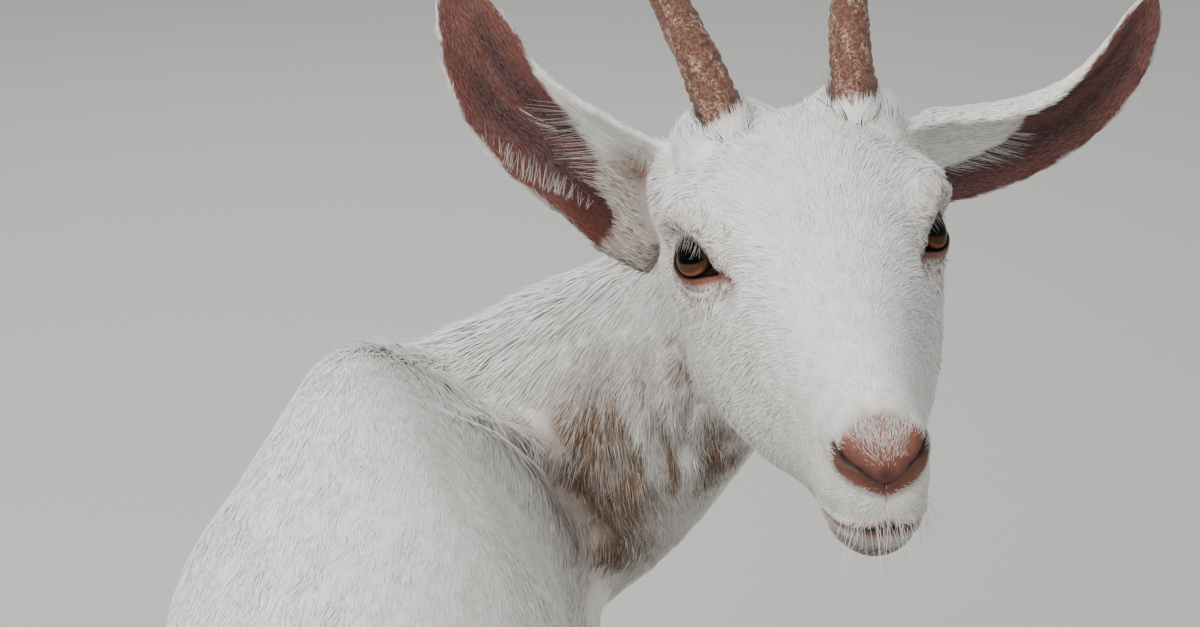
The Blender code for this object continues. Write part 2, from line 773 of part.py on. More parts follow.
feet = {(kind, name): foot_frame(kind, side) for kind in LEGS for name, side in SIDES.items()}
for (kind, name), frame in feet.items():
    side = SIDES[name]
    sockets = [new_helper("dewclaw_socket", dewclaw_solid(frame, o, GAP)) for o in (1, -1)]
    leg = flesh_piece(
        f"{kind}_{name}",
        [leg_zone(kind, side), coronet_zone(frame, 1)],
        sockets,
    )
    uncut[f"{kind}_{name}"] = (leg, COAT)
    for place, outer in (("outer", 1), ("inner", -1)):
        claw = new_helper(f"claw_{kind}_{name}_{place}_uncut", claw_solid(frame, outer))
        cut(claw, coronet_zone(frame, 1, GAP))
        uncut[f"claw_{kind}_{name}_{place}"] = (claw, HOOF)
        dewclaw = new_helper(f"dewclaw_{kind}_{name}_{place}_uncut", dewclaw_solid(frame, outer))
        uncut[f"dewclaw_{kind}_{name}_{place}"] = (dewclaw, HOOF)

leg_gaps = [leg_zone(kind, side, GAP) for kind in LEGS for side in SIDES.values()]
trunk = flesh_piece("trunk", [], [neck_zone(GAP), head_zone(GAP), tail_zone(GAP), *leg_gaps])
uncut["trunk"] = (trunk, COAT)
uncut["neck"] = (flesh_piece("neck", [neck_zone()], [head_zone(GAP)]), COAT)
uncut["tail"] = (flesh_piece("tail", [tail_zone()]), COAT)

head = flesh_piece("head", [head_zone()])
head_skin = swollen(flesh, GAP)
for name, side in SIDES.items():
    at_eye = eye_frame(-side)
    eye = new_helper(f"eye_{name}_uncut", ball((0, 0, 0), [EYE_RADIUS] * 3, frame=at_eye, rings=10))
    socket = ball((0, 0, 0), [EYE_RADIUS + GAP] * 3, frame=at_eye, rings=10)
    cut(head, new_helper("eye_socket", socket))
    cut(head, new_helper("lid_opening", ball((LID_OPENING, 0, 0), LID_RADII, frame=at_eye)))
    cut(head, new_helper("horn_socket", horn_solid(name, GAP)))
    uncut[f"eye_{name}"] = (eye, EYE)
    uncut[f"horn_{name}"] = (new_helper(f"horn_{name}_uncut", horn_solid(name)), HORN)
    ear = new_helper(f"ear_{name}_uncut", ear_solid(name))
    cut(ear, head_skin)
    uncut[f"ear_{name}"] = (ear, COAT)
uncut["head"] = (head, COAT)

solids = {name: without_slivers(settled_mesh(obj)) for name, (obj, finish) in uncut.items()}
points = [vertex.co for mesh in solids.values() for vertex in mesh.vertices]
low = [min(point[i] for point in points) for i in range(3)]
high = [max(point[i] for point in points) for i in range(3)]
base = Vector(((low[0] + high[0]) / 2, (low[1] + high[1]) / 2, low[2]))
for name, mesh in solids.items():
    mesh.transform(Matrix.Scale(CM, 4) @ Matrix.Translation(-base))
    mesh.materials.clear()
    mesh.materials.append(new_material(name, *uncut[name][1]))
    mesh.shade_smooth()
    mesh.set_sharp_from_angle(angle=math.radians(SHARP))
    new_object(name, mesh, goat)
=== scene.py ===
"""A young white goat with horns, standing and looking back over its right shoulder.

A still, life-size museum model: skin over the solid flesh, glass eyes, keratin horns and hooves,
and a coat of separate tufts that follow the lie of the hair. Metres, +Z up, trunk facing -Y.
"""
import math

import bmesh
import bpy
import numpy as np
from mathutils import Matrix, Vector
from mathutils.bvhtree import BVHTree


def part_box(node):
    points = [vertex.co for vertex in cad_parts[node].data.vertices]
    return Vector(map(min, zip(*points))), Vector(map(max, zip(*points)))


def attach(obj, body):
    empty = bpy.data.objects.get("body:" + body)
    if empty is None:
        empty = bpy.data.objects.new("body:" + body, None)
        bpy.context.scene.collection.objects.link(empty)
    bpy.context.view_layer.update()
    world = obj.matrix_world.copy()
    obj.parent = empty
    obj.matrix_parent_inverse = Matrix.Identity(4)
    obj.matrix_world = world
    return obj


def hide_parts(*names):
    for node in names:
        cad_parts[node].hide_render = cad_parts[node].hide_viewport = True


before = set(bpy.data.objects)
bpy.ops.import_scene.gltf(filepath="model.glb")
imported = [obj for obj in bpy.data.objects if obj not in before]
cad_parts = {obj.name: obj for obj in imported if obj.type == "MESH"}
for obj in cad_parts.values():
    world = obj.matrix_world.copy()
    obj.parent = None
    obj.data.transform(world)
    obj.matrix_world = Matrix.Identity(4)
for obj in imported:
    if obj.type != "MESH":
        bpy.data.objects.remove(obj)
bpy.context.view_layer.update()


# ---------------------------------------------------------------- where the animal stands

# Everything is placed from the eyes. Head coordinates are centimetres to the goat's own right,
# towards its nose and towards its forehead. Body coordinates are centimetres from the ground under
# the withers: +X is the goat's left, -Y the way the trunk faces, +Z up.
CM = 0.01
SIDES = {"right": 1, "left": -1}
# The middle of the right eye and the point between the eyes in head coordinates, that point in body
# coordinates, and the way the nose points
EYE_MIDDLE = np.array((3.65, -0.5, 0.28))
EYES_IN_HEAD = EYE_MIDDLE * (0, 1, 1)
EYES_IN_BODY = np.array((-18.54, 7.81, 63.79))
FACING = np.array((-0.061, 0.998, -0.018))


def unit(v):
    return v / np.maximum(np.linalg.norm(v, axis=-1, keepdims=True), 1e-12)


def middle_of(node):
    low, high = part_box(node)
    return np.array((low + high) / 2)


between_eyes = (middle_of("eye_right") + middle_of("eye_left")) / 2
rightward = unit(middle_of("eye_right") - middle_of("eye_left"))
noseward = unit(FACING - rightward * (FACING @ rightward))
head_axes = np.array((rightward, noseward, np.cross(rightward, noseward)))


def in_head(points):
    return (points - between_eyes) / CM @ head_axes.T + EYES_IN_HEAD


def from_head(points):
    return between_eyes + (np.asarray(points, float) - EYES_IN_HEAD) @ head_axes * CM


def in_body(points):
    return (points - between_eyes) / CM + EYES_IN_BODY


def from_body(points):
    return between_eyes + (np.asarray(points, float) - EYES_IN_BODY) * CM


# ---------------------------------------------------------------- the flesh under the skin

# The solid flesh is one body under one hide, so its pieces are grown by half a millimetre, fused
# and relaxed until no joint or facet is left.
FLESH = ["head", "neck", "trunk", "tail", "ear_right", "ear_left",
         "foreleg_right", "foreleg_left", "hindleg_right", "hindleg_left"]
GROWN = {"ear_right": 0.0009, "ear_left": 0.0009}
FINE = 0.0016
# Rounds of relaxing for each piece of flesh; the trunk has the largest facets
RELAXED = {"head": 9, "neck": 45, "trunk": 60, "tail": 12, "ear_right": 4, "ear_left": 4,
           "foreleg_right": 16, "foreleg_left": 16, "hindleg_right": 16, "hindleg_left": 16}


def new_object(name, mesh, material=None):
    obj = bpy.data.objects.new(name, mesh)
    bpy.context.scene.collection.objects.link(obj)
    if material:
        mesh.materials.append(material)
    return obj


def applied(obj):
    """The object's evaluated mesh, as a plain one; the object itself goes."""
    mesh = bpy.data.meshes.new_from_object(
        obj.evaluated_get(bpy.context.evaluated_depsgraph_get()))
    bpy.data.objects.remove(obj)
    return mesh


def places(mesh):
    co = np.empty(len(mesh.vertices) * 3, np.float32)
    mesh.vertices.foreach_get("co", co)
    return co.reshape(-1, 3).astype(float)


def set_places(mesh, co):
    mesh.vertices.foreach_set("co", np.ascontiguousarray(co, np.float32).ravel())
    mesh.update()


def normals(mesh):
    no = np.empty(len(mesh.vertices) * 3, np.float32)
    mesh.vertex_normals.foreach_get("vector", no)
    return no.reshape(-1, 3).astype(float)


def links_of(mesh):
    """The two ends of each edge, and how many edges each vertex has."""
    ends = np.empty(len(mesh.edges) * 2, np.int32)
    mesh.edges.foreach_get("vertices", ends)
    count = np.bincount(ends, minlength=len(mesh.vertices))
    return ends.reshape(-1, 2), np.maximum(count, 1)


def neighbour_mean(values, ends, count):
    """Each vertex's mean of its neighbours' values."""
    a, b = ends[:, 0], ends[:, 1]
    total = np.empty_like(values)
    for k in range(values.shape[1]):
        column = values[:, k]
        total[:, k] = (np.bincount(a, column[b], len(values))
                       + np.bincount(b, column[a], len(values)))
    return total / count[:, None]


def spread(values, ends, count, rounds):
    """Values evened out over their neighbours, some rounds over."""
    for _ in range(rounds):
        values = neighbour_mean(values, ends, count)
    return values


def relaxed(co, ends, count, loose=True):
    """One round of relaxing: the loose points go halfway to the mean of their neighbours."""
    return np.where(loose, (co + neighbour_mean(co, ends, count)) / 2, co)


def mesh_from(bm, name):
    """The bmesh as a mesh; the bmesh itself goes."""
    mesh = bpy.data.meshes.new(name)
    bm.to_mesh(mesh)
    bm.free()
    return mesh


def node_copy(name):
    """The solid of a node, with its corners joined."""
    bm = bmesh.new()
    bm.from_mesh(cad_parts[name].data)
    bmesh.ops.remove_doubles(bm, verts=bm.verts, dist=1e-5)
    return bm


def fused(name, mesh, size):
    """The mesh as one even surface, made again from cells of some size."""
    obj = new_object(name, mesh)
    remesh = obj.modifiers.new("fuse", "REMESH")
    remesh.mode = "VOXEL"
    remesh.voxel_size = size
    return applied(obj)


def thinned(name, mesh, ratio, weights=None):
    """The mesh with a share of its faces; where there are weights, most go where they are high."""
    obj = new_object(name, mesh)
    decimate = obj.modifiers.new("thin", "DECIMATE")
    decimate.ratio = ratio
    if weights is not None:
        group = obj.vertex_groups.new(name="weights")
        for weight in np.unique(weights):
            group.add(np.flatnonzero(weights == weight).tolist(), float(weight), "REPLACE")
        decimate.vertex_group = group.name
    return applied(obj)


def nearest_flesh(co):
    """The index of the piece of flesh nearest to each point."""
    return np.array(owner)[[solids.find_nearest(Vector(p))[2] for p in co]]


bm = bmesh.new()
owner = []
for index, name in enumerate(FLESH):
    piece = node_copy(name)
    piece.normal_update()
    for vertex in piece.verts:
        vertex.co += vertex.normal * GROWN.get(name, 0.0005)
    grown = mesh_from(piece, name + "_grown")
    bm.from_mesh(grown)
    owner += [index] * (len(bm.faces) - len(owner))
    bpy.data.meshes.remove(grown)
solids = BVHTree.FromBMesh(bm)
flesh = fused("flesh", mesh_from(bm, "flesh"), FINE)

co = places(flesh)
ends, count = links_of(flesh)
part = nearest_flesh(co)
rounds = np.array([RELAXED[name] for name in FLESH], float)[part][:, None]
rounds = spread(rounds, ends, count, 12)
# The lower corner of the right ear's root is a soft lobe
lobe = np.linalg.norm(in_head(co) - (5.7, -6.7, -3.4), axis=1, keepdims=True)
rounds = np.maximum(rounds, 50 * np.exp(-(lobe / 1.5) ** 2))
for step in range(60):
    co = relaxed(co, ends, count, rounds > step)
set_places(flesh, co)


# ---------------------------------------------------------------- the hide

# A goat's hide is thin and loose: it wrinkles on the side of the neck that is bent, creases in front
# of the shoulder, and is bare only at the nose pad, the lips and the rims of the lids.
# All of these lines are in head or body coordinates; a line on the head has a mirror twin.
NECK_RIDGES = [
    [(-11.7, -3.0, 54.3), (-12.0, -2.2, 52.6), (-12.5, -1.7, 51.3), (-13.1, -1.9, 49.6),
     (-13.3, -1.9, 47.6)],
    [(-13.2, -1.2, 55.0), (-13.6, -0.8, 53.3), (-13.9, -0.9, 51.6), (-14.3, -1.4, 49.4),
     (-14.5, -1.7, 47.8)],
    [(-14.9, 0.2, 53.5), (-14.9, -0.4, 52.0), (-14.9, -1.1, 50.0), (-14.9, -1.6, 48.4)],
]
NECK_GROOVES = [
    [(-12.6, -2.1, 55.1), (-13.0, -1.4, 53.8), (-13.3, -1.1, 52.5), (-13.6, -1.3, 50.9),
     (-14.0, -1.8, 48.4)],
    [(-13.9, -0.3, 56.6), (-14.2, 0.1, 55.6), (-14.7, 0.0, 53.4), (-14.5, -0.6, 51.9),
     (-14.5, -1.4, 48.6)],
    [(-11.2, -2.9, 53.6), (-11.7, -2.4, 51.2), (-12.1, -2.4, 49.5), (-12.4, -2.4, 47.4)],
    [(-10.8, -3.6, 53.1), (-10.3, -3.3, 50.7), (-9.8, -3.2, 48.5), (-10.2, -3.0, 46.8),
     (-11.9, -3.3, 44.1)],
]
SHOULDER_CREASE = [(-3.4, -0.2, 53.8), (-4.9, -0.7, 53.0), (-6.4, -1.5, 52.0), (-7.9, -2.4, 50.1),
                   (-9.4, -2.7, 47.6), (-10.8, -3.0, 45.2), (-11.9, -3.4, 43.7)]
UNDER_JAW = [(-15.7, -0.2, 51.8), (-15.8, -1.3, 49.9), (-16.7, -1.7, 49.7), (-15.3, -1.6, 48.6)]
MOUTH = [(2.24, 6.92, -4.25), (1.75, 9.4, -3.95), (1.30, 11.64, -3.57), (0.84, 12.76, -3.21),
         (0.3, 13.11, -3.12), (0.0, 13.15, -3.02)]
NOSTRIL = [(1.46, 12.30, -0.42), (1.41, 12.42, -0.52), (1.20, 12.73, -0.71), (0.80, 13.03, -0.90),
           (0.41, 13.12, -1.25), (0.02, 13.16, -1.46)]
PHILTRUM = [(0.0, 13.16, -1.46), (0.0, 13.16, -2.2), (0.0, 13.14, -3.0)]
NOSE_PAD = [(0.0, 0.50), (0.45, 0.47), (0.95, 0.26), (1.3, -0.05), (1.54, -0.5), (1.6, -0.95),
            (1.48, -1.25), (1.2, -1.47), (0.9, -1.6), (0.45, -1.78), (0.0, -1.95)]
TEAR_LINE = [(3.74, 1.0, 0.40), (3.66, 1.8, 0.62), (3.45, 2.6, 0.74), (3.2, 3.3, 0.74),
             (2.95, 4.1, 0.62)]
TEAR_RIDGE = [(3.92, 0.5, 1.20), (3.72, 1.3, 0.98), (3.52, 2.2, 1.04), (3.22, 3.1, 1.06),
              (2.95, 4.0, 0.95)]
# How far the muzzle and then the nose are refined: the lowest noseward coordinate
MUZZLE_FROM = (8.6, 11.2)


def along_line(points, line):
    """Distance from each point to a line of straight pieces, and how far along it, from 0 to 1."""
    line = np.array(line, float)
    best = np.full(len(points), 1e9)
    share = np.zeros(len(points))
    for i, (a, b) in enumerate(zip(line[:-1], line[1:])):
        t = np.clip((points - a) @ (b - a) / ((b - a) @ (b - a)), 0, 1)
        d = np.linalg.norm(points - a - t[:, None] * (b - a), axis=1)
        share = np.where(d < best, (i + t) / (len(line) - 1), share)
        best = np.minimum(best, d)
    return best, share


def laid(line, surface, into, out_of):
    """A line moved onto a surface, with points added between its own."""
    line = np.array(line, float)
    rows = []
    for a, b in zip(line[:-1], line[1:]):
        rows += [a + (b - a) * t for t in np.linspace(0, 1, 4)[:-1]]
    found = [surface.find_nearest(Vector(p))[0] for p in out_of(rows + [line[-1]])]
    return into(np.array([p[:] for p in found]))


def surface_of(mesh):
    return BVHTree.FromPolygons(places(mesh).tolist(), [p.vertices[:] for p in mesh.polygons])


def bell(distance, width):
    return np.exp(-(distance / width) ** 2)


def rise(x, start, end):
    t = np.clip((x - start) / (end - start), 0, 1)
    return t * t * (3 - 2 * t)


def mirrored(head):
    return head * np.where(head[:, :1] < 0, (-1, 1, 1), 1)


def taper(share):
    """Full in the middle of a line and nothing at its ends."""
    return np.minimum(rise(share, 0, 0.2), rise(1 - share, 0, 0.2))


def pad_depth(head):
    """Centimetres inside the outline of the nose pad; negative outside."""
    flat = np.stack((np.abs(head[:, 0]), head[:, 2]), 1)
    line = np.array(NOSE_PAD)
    distance = np.full(len(flat), 1e9)
    inside = np.zeros(len(flat), bool)
    for a, b in zip(line, np.roll(line, -1, 0)):
        if abs(a[0]) + abs(b[0]) > 0:
            t = np.clip((flat - a) @ (b - a) / ((b - a) @ (b - a)), 0, 1)
            distance = np.minimum(distance, np.linalg.norm(flat - a - t[:, None] * (b - a), axis=1))
        crosses = (a[1] > flat[:, 1]) != (b[1] > flat[:, 1])
        at = a[0] + (flat[:, 1] - a[1]) / (b[1] - a[1] + 1e-12) * (b[0] - a[0])
        inside ^= crosses & (flat[:, 0] < at)
    depth = np.where(inside, distance, -distance)
    return np.where(head[:, 1] > 10.2, depth, -3.0)


def waves(points, size, seed, turns=14):
    """Soft noise from about -1 to 1; size is the usual wavelength, in the points' own unit."""
    own = np.random.default_rng(seed)
    total = np.zeros(len(points))
    for _ in range(turns):
        way = unit(own.normal(size=3)) * (2 * math.pi / (size * own.uniform(0.6, 1.7)))
        total += np.sin(points @ way + own.uniform(0, 2 * math.pi))
    return total / math.sqrt(turns / 2) / 1.6


def on_muzzle(head, lowest):
    return (head[:, 1] > lowest) & (np.abs(head[:, 0]) < 3.4) & (head[:, 2] > -7.0)


def refine(mesh, lowest):
    """Splits the faces of the muzzle beyond a noseward coordinate in four."""
    bm = bmesh.new()
    bm.from_mesh(mesh)
    beyond = on_muzzle(in_head(places(mesh)), lowest)
    bm.verts.ensure_lookup_table()
    chosen = [edge for edge in bm.edges
              if beyond[edge.verts[0].index] and beyond[edge.verts[1].index]]
    bmesh.ops.subdivide_edges(bm, edges=chosen, cuts=1, use_grid_fill=True)
    bm.to_mesh(mesh)
    bm.free()
    co = places(mesh)
    ends, count = links_of(mesh)
    moved = on_muzzle(in_head(co), lowest - 0.3)[:, None]
    for _ in range(4):
        co = relaxed(co, ends, count, moved)
    set_places(mesh, co)


# Folds and coat depth go on while the mesh is fine and even
COAT_DEPTH = {"head": 0.10, "neck": 0.35, "trunk": 0.38, "tail": 0.5, "ear_right": 0.02,
              "ear_left": 0.02, "foreleg_right": 0.15, "foreleg_left": 0.15,
              "hindleg_right": 0.17, "hindleg_left": 0.17}
HIDE_TRIANGLES = 140000

body = in_body(co)
head = in_head(co)
surface = surface_of(flesh)
lift = np.zeros(len(co))
for lines, height, width in ((NECK_RIDGES, 0.26, 0.50), (NECK_GROOVES, -0.30, 0.36),
                             ([SHOULDER_CREASE], -0.45, 0.50)):
    for line in lines:
        d, share = along_line(body, laid(line, surface, in_body, from_body))
        lift += height * bell(d, width) * taper(share) * (0.4 + 0.6 * rise(share, 0.1, 0.6))
depth = spread(np.array([COAT_DEPTH[name] for name in FLESH])[part][:, None], ends, count, 14)
depth = depth[:, 0] * (1 - rise(head[:, 1], 7.0, 11.0) * on_muzzle(head, 6.0))
co = co + normals(flesh) * ((lift - depth) * CM)[:, None]
set_places(flesh, co)

# The head and ears keep their fine mesh, and the rest is thinned
plain = 1 - np.isin(part, [FLESH.index(n) for n in ("head", "ear_right", "ear_left")])
plain = np.round(spread(plain.astype(float)[:, None], ends, count, 10)[:, 0] ** 2, 1)
flesh = thinned("hide", flesh, HIDE_TRIANGLES / (2 * len(flesh.polygons)), plain)
for lowest in MUZZLE_FROM:
    refine(flesh, lowest)


# The lids. Around each eye a ring of skin runs from the wet rim on the eyeball to the face. In the
# plane of an eye, the first coordinate is towards the nose and the second towards the brow, in
# centimetres.
EYE_RADIUS = 1.25
GAZE = (0.8, 0.5, 0.18)
NASAL = (-0.5, 0.8, 0.0)
LID_RADIUS = EYE_RADIUS + 0.13
RIM_OUTSIDE = 0.115
SOCKET = (2.15, 1.6)
HOLLOW = 0.28
# Points round a ring, rows from the lid's edge to the face, and rows behind the edge
AROUND, ACROSS, BEHIND = 128, 22, 5
# Where lines that find the face start, out from the middle of the eye
CAST_FROM = 6
LID_EDGE = [(1.27, -0.10), (1.06, 0.22), (0.84, 0.50), (0.5, 0.74), (0.12, 0.86), (-0.3, 0.82),
            (-0.72, 0.62), (-1.02, 0.26), (-1.12, -0.04), (-0.88, -0.27), (-0.45, -0.43),
            (0.0, -0.53), (0.45, -0.48), (0.86, -0.31)]


def eye_axes(side):
    """Nasal, upward and outward axes of an eye, in head coordinates."""
    mirror = np.array((side, 1, 1))
    out = unit(np.array(GAZE)) * mirror
    nasal = unit(np.array(NASAL))
    nasal = unit(nasal * mirror - out * (out @ (nasal * mirror)))
    return nasal, np.cross(out, nasal) * side, out


def eye_middle(side):
    return EYE_MIDDLE * (side, 1, 1)


def in_eye(side, head):
    """How far points lie towards the nose, up and out from the middle of an eye."""
    return tuple((head - eye_middle(side)) @ axis for axis in eye_axes(side))


def smooth_rows(rows, steps, closed=False):
    """A smooth path through rows of numbers, by cubic pieces."""
    rows = np.array(rows, float)
    if closed:
        padded = np.vstack((rows[-1], rows, rows[0], rows[1]))
    else:
        padded = np.vstack((2 * rows[0] - rows[1], rows, 2 * rows[-1] - rows[-2]))
    last = len(rows) if closed else len(rows) - 1
    at = np.linspace(0, last, steps)
    k = np.minimum(at.astype(int), last - 1)
    t = (at - k)[:, None]
    p0, p1, p2, p3 = (padded[k + i] for i in range(4))
    return 0.5 * (2 * p1 + (p2 - p0) * t + (2 * p0 - 5 * p1 + 4 * p2 - p3) * t ** 2
                  + (3 * p1 - p0 - 3 * p2 + p3) * t ** 3)


lid_edge = smooth_rows(LID_EDGE, 1200, closed=True)


def opening(angle):
    """The edge of the lids in each direction from the middle of the eye."""
    turned = np.unwrap(np.arctan2((lid_edge[:, 1] - 0.15) / 0.7, (lid_edge[:, 0] - 0.05) / 1.2))
    order = np.argsort(turned)
    wanted = (angle - turned.min()) % (2 * math.pi) + turned.min()
    return [np.interp(wanted, turned[order], lid_edge[order, k], period=2 * math.pi)
            for k in (0, 1)]


# A hollow runs from the inner corner of each eye down the face
head = in_head(places(flesh))
for side in SIDES.values():
    a, u, h = in_eye(side, head)
    hollow = bell(np.hypot((a - 2.1) / 1.1, (u - 0.05) / 0.75), 1.0)
    head = head - (HOLLOW * hollow * (h > 0.2))[:, None] * eye_axes(side)[2]
set_places(flesh, from_head(head))
face = surface_of(flesh)


def face_height(side, across, up):
    """How far out of an eye's middle the face lies, at places in the eye's plane."""
    nasal, upward, out = eye_axes(side)
    heights = []
    for a, u in zip(across, up):
        start = from_head(eye_middle(side) + nasal * a + upward * u + out * CAST_FROM)
        hit = face.ray_cast(Vector(start), Vector(-(out @ head_axes)), 0.09)
        heights.append(CAST_FROM - hit[3] / CM if hit[0] else np.nan)
    return np.array(heights)


def lid_ring(side):
    """Points, rows by turns, from behind the rim of the lids out onto the face."""
    nasal, upward, out = eye_axes(side)
    angle = np.linspace(0, 2 * math.pi, AROUND, endpoint=False)
    inner_a, inner_u = opening(angle)
    outer_a, outer_u = SOCKET[0] * np.cos(angle), SOCKET[1] * np.sin(angle)
    h1 = face_height(side, outer_a, outer_u)
    h2 = face_height(side, outer_a * 1.08, outer_u * 1.08)
    for h in (h1, h2):
        bad = np.isnan(h)
        h[bad] = np.interp(angle[bad], angle[~bad], h[~bad], period=2 * math.pi)
    reach = np.hypot(outer_a - inner_a, outer_u - inner_u)
    slope1 = (h2 - h1) / (0.08 * np.hypot(outer_a, outer_u)) * reach
    inner_r = np.hypot(inner_a, inner_u)
    rows = []
    # The wet rim: from behind the eyeball's surface out to the lid's thickness
    for outside, shrink in ((-0.30, 0.86), (-0.06, 1.03), (0.02, 1.0), (0.07, 0.985),
                            (RIM_OUTSIDE, 1.0)):
        radius = EYE_RADIUS + outside
        height = (np.sqrt(np.maximum(radius ** 2 - (inner_r * shrink) ** 2, 0.45))
                  - 0.5 * (EYE_RADIUS + RIM_OUTSIDE - radius))
        rows.append((inner_a * shrink, inner_u * shrink, height))
    start = np.sqrt(np.maximum(LID_RADIUS ** 2 - inner_r ** 2, 0.47))
    slope0 = -np.minimum(inner_r, 1.0) / np.maximum(start, 0.6) * reach * 0.75
    for k in range(1, ACROSS + 1):
        s = (k / ACROSS) ** 1.25
        a, u = inner_a + (outer_a - inner_a) * s, inner_u + (outer_u - inner_u) * s
        height = ((2 * s ** 3 - 3 * s ** 2 + 1) * start + (s ** 3 - 2 * s ** 2 + s) * slope0
                  + (3 * s ** 2 - 2 * s ** 3) * h1 + (s ** 3 - s ** 2) * slope1)
        rows.append((a, u, height))
    return np.array([eye_middle(side) + np.outer(a, nasal) + np.outer(u, upward) + np.outer(h, out)
                     for a, u, h in rows])


rings = {name: lid_ring(side) for name, side in SIDES.items()}

# The face behind each ring sinks into the socket, clear of the ring
co = places(flesh)
head = in_head(co)
buried = np.zeros(len(co), bool)
for side in SIDES.values():
    a, u, h = in_eye(side, head)
    from_middle = np.hypot(a / SOCKET[0], u / SOCKET[1])
    sink = np.where((h > -1.0) & (from_middle < 1), rise(1 - from_middle, 0.0, 0.3) * 0.75, 0)
    head = head - sink[:, None] * eye_axes(side)[2]
    buried |= sink > 0
set_places(flesh, from_head(head))

bm = bmesh.new()
bm.from_mesh(flesh)
lid_start = len(bm.verts)
for name, side in SIDES.items():
    made = [[bm.verts.new(p) for p in from_head(row)] for row in rings[name]]
    for row, following in zip(made, made[1:]):
        for k in range(AROUND):
            quad = (row[k], row[(k + 1) % AROUND], following[(k + 1) % AROUND], following[k])
            bm.faces.new(quad[::-1] if side > 0 else quad)
bm.to_mesh(flesh)
bm.free()
buried = np.concatenate((buried, np.zeros(len(flesh.vertices) - len(buried), bool)))
# The row of each point of the rings, counted from behind the eyeball; the face has a high number
ring_row = np.full(len(flesh.vertices), 99)
ring_row[lid_start:] = np.tile(np.repeat(np.arange(ACROSS + BEHIND), AROUND), len(SIDES))

# Sculpting of the head: along the normal, in centimetres
co = places(flesh)
head = in_head(co)
near = mirrored(head)
lift = np.zeros(len(co))
front = head[:, 1] > 6
d, share = along_line(near, NOSTRIL)
wide = bell(np.linalg.norm(near - (1.36, 12.5, -0.58), axis=1), 0.5)
lift -= (0.12 + 0.24 * wide) * bell(d, 0.045 + 0.12 * wide) * front
lift += 0.09 * bell(np.linalg.norm(near - (0.95, 12.45, -0.2), axis=1), 0.5)
d, share = along_line(near, PHILTRUM)
lift -= 0.09 * bell(d, 0.055) * front
d, share = along_line(near, MOUTH)
lift -= 0.16 * bell(d, 0.07) * rise(share, 0, 0.1) * front
lift += 0.06 * bell(d - 0.28, 0.16) * rise(share, 0.1, 0.4) * front
pad = pad_depth(head)
lift += 0.05 * rise(pad, -0.03, 0.12)
surface = surface_of(flesh)
d, share = along_line(near, laid(TEAR_LINE, surface, in_head, from_head))
lift -= 0.15 * bell(d, 0.13) * rise(1 - share, 0, 0.6) * rise(share, 0.0, 0.15)
d, share = along_line(near, laid(TEAR_RIDGE, surface, in_head, from_head))
lift += 0.10 * bell(d, 0.18) * rise(1 - share, 0, 0.5) * rise(share, 0, 0.2) * (ring_row > 7)
for side in SIDES.values():
    a, u, h = in_eye(side, head)
    close = (h > -0.6) & (np.hypot(a, u) < 2.6) & (ring_row > 5)
    over = np.hypot((a + 0.05) / 1.42, (u + 0.05) / 0.98)
    lift -= 0.07 * bell(over - 1, 0.09) * rise(u, 0.1, 0.6) * close
    under = np.hypot((a - 0.1) / 1.5, (u + 0.05) / 0.95)
    lift -= 0.06 * bell(under - 1, 0.1) * rise(-u, 0.1, 0.6) * close
    lift += 0.10 * bell(np.hypot(a, u - 1.25), 0.8) * close
co = co + normals(flesh) * (lift * CM)[:, None]
set_places(flesh, co)


# Markings, one value per point of the hide from 0 to 1, some of them painted shade; the coat takes the
# same ones at its roots.
# An ear's row is its middle in head coordinates, half its width, and how far its open side is
# turned: 0 faces the nose and 90 the ground.
EARS = {
    "right": [(4.0, -6.0, -0.9, 3.1, 16), (5.5, -6.1, 0.15, 2.8, 12), (7.3, -6.3, 1.7, 2.3, 6),
              (9.05, -6.7, 3.1, 2.1, 0), (10.45, -7.1, 4.8, 1.85, -4), (11.2, -7.6, 6.7, 1.6, -6),
              (11.7, -8.2, 8.5, 1.0, -6), (11.8, -8.7, 9.7, 0.35, -6)],
    "left": [(-4.0, -6.2, 0.3, 2.3, 24), (-5.6, -6.5, 0.4, 2.6, 28), (-7.6, -6.8, 0.25, 2.65, 32),
             (-9.8, -7.2, 0.5, 2.5, 34), (-11.9, -7.7, 1.3, 2.1, 34), (-13.6, -8.3, 2.7, 1.55, 30),
             (-14.7, -8.9, 4.3, 0.95, 24), (-15.2, -9.4, 5.3, 0.35, 20)],
}
# Where the thin-haired inside of each ear begins, by place across: share of the ear's length
EAR_ROOT = {
    "right": [(-1.0, 0.15), (-0.62, 0.143), (-0.53, 0.155), (-0.42, 0.20), (-0.30, 0.238),
              (-0.02, 0.262), (0.16, 0.294), (0.45, 0.352), (0.59, 0.389), (0.66, 0.457),
              (0.95, 0.62)],
    "left": [(-1.0, 0.52), (-0.85, 0.46), (-0.4, 0.43), (0.2, 0.412), (0.43, 0.356), (0.51, 0.289),
             (0.56, 0.22), (0.75, 0.16), (1.0, 0.12)],
}
# The channels between the ribs of the gristle, a darker red that is painted shade in the grooves over the
# red skin: (share, place across)
EAR_CHANNELS = {
    "right": [[(0.14, -0.55), (0.22, -0.47), (0.295, -0.5), (0.37, -0.40), (0.43, -0.27), (0.6, -0.36)],
              [(0.42, 0.20), (0.55, 0.24), (0.72, 0.2)]],
    "left": [[(0.2, 0.6), (0.4, 0.55), (0.6, 0.45), (0.75, 0.35)],
             [(0.42, -0.2), (0.6, -0.25), (0.75, -0.2)]],
}
# The length of an ear against half its width, so that distances on its cup are true
EAR_ASPECT = 3.0
NECK = [(-2.0, 0.5, 43.6), (-2.8, -4.0, 43.7), (-4.4, -7.2, 44.1), (-8.0, -8.3, 45.9),
        (-12.0, -7.2, 49.7), (-15.4, -4.8, 54.0), (-17.6, -2.0, 57.7), (-18.5, 1.2, 60.0)]


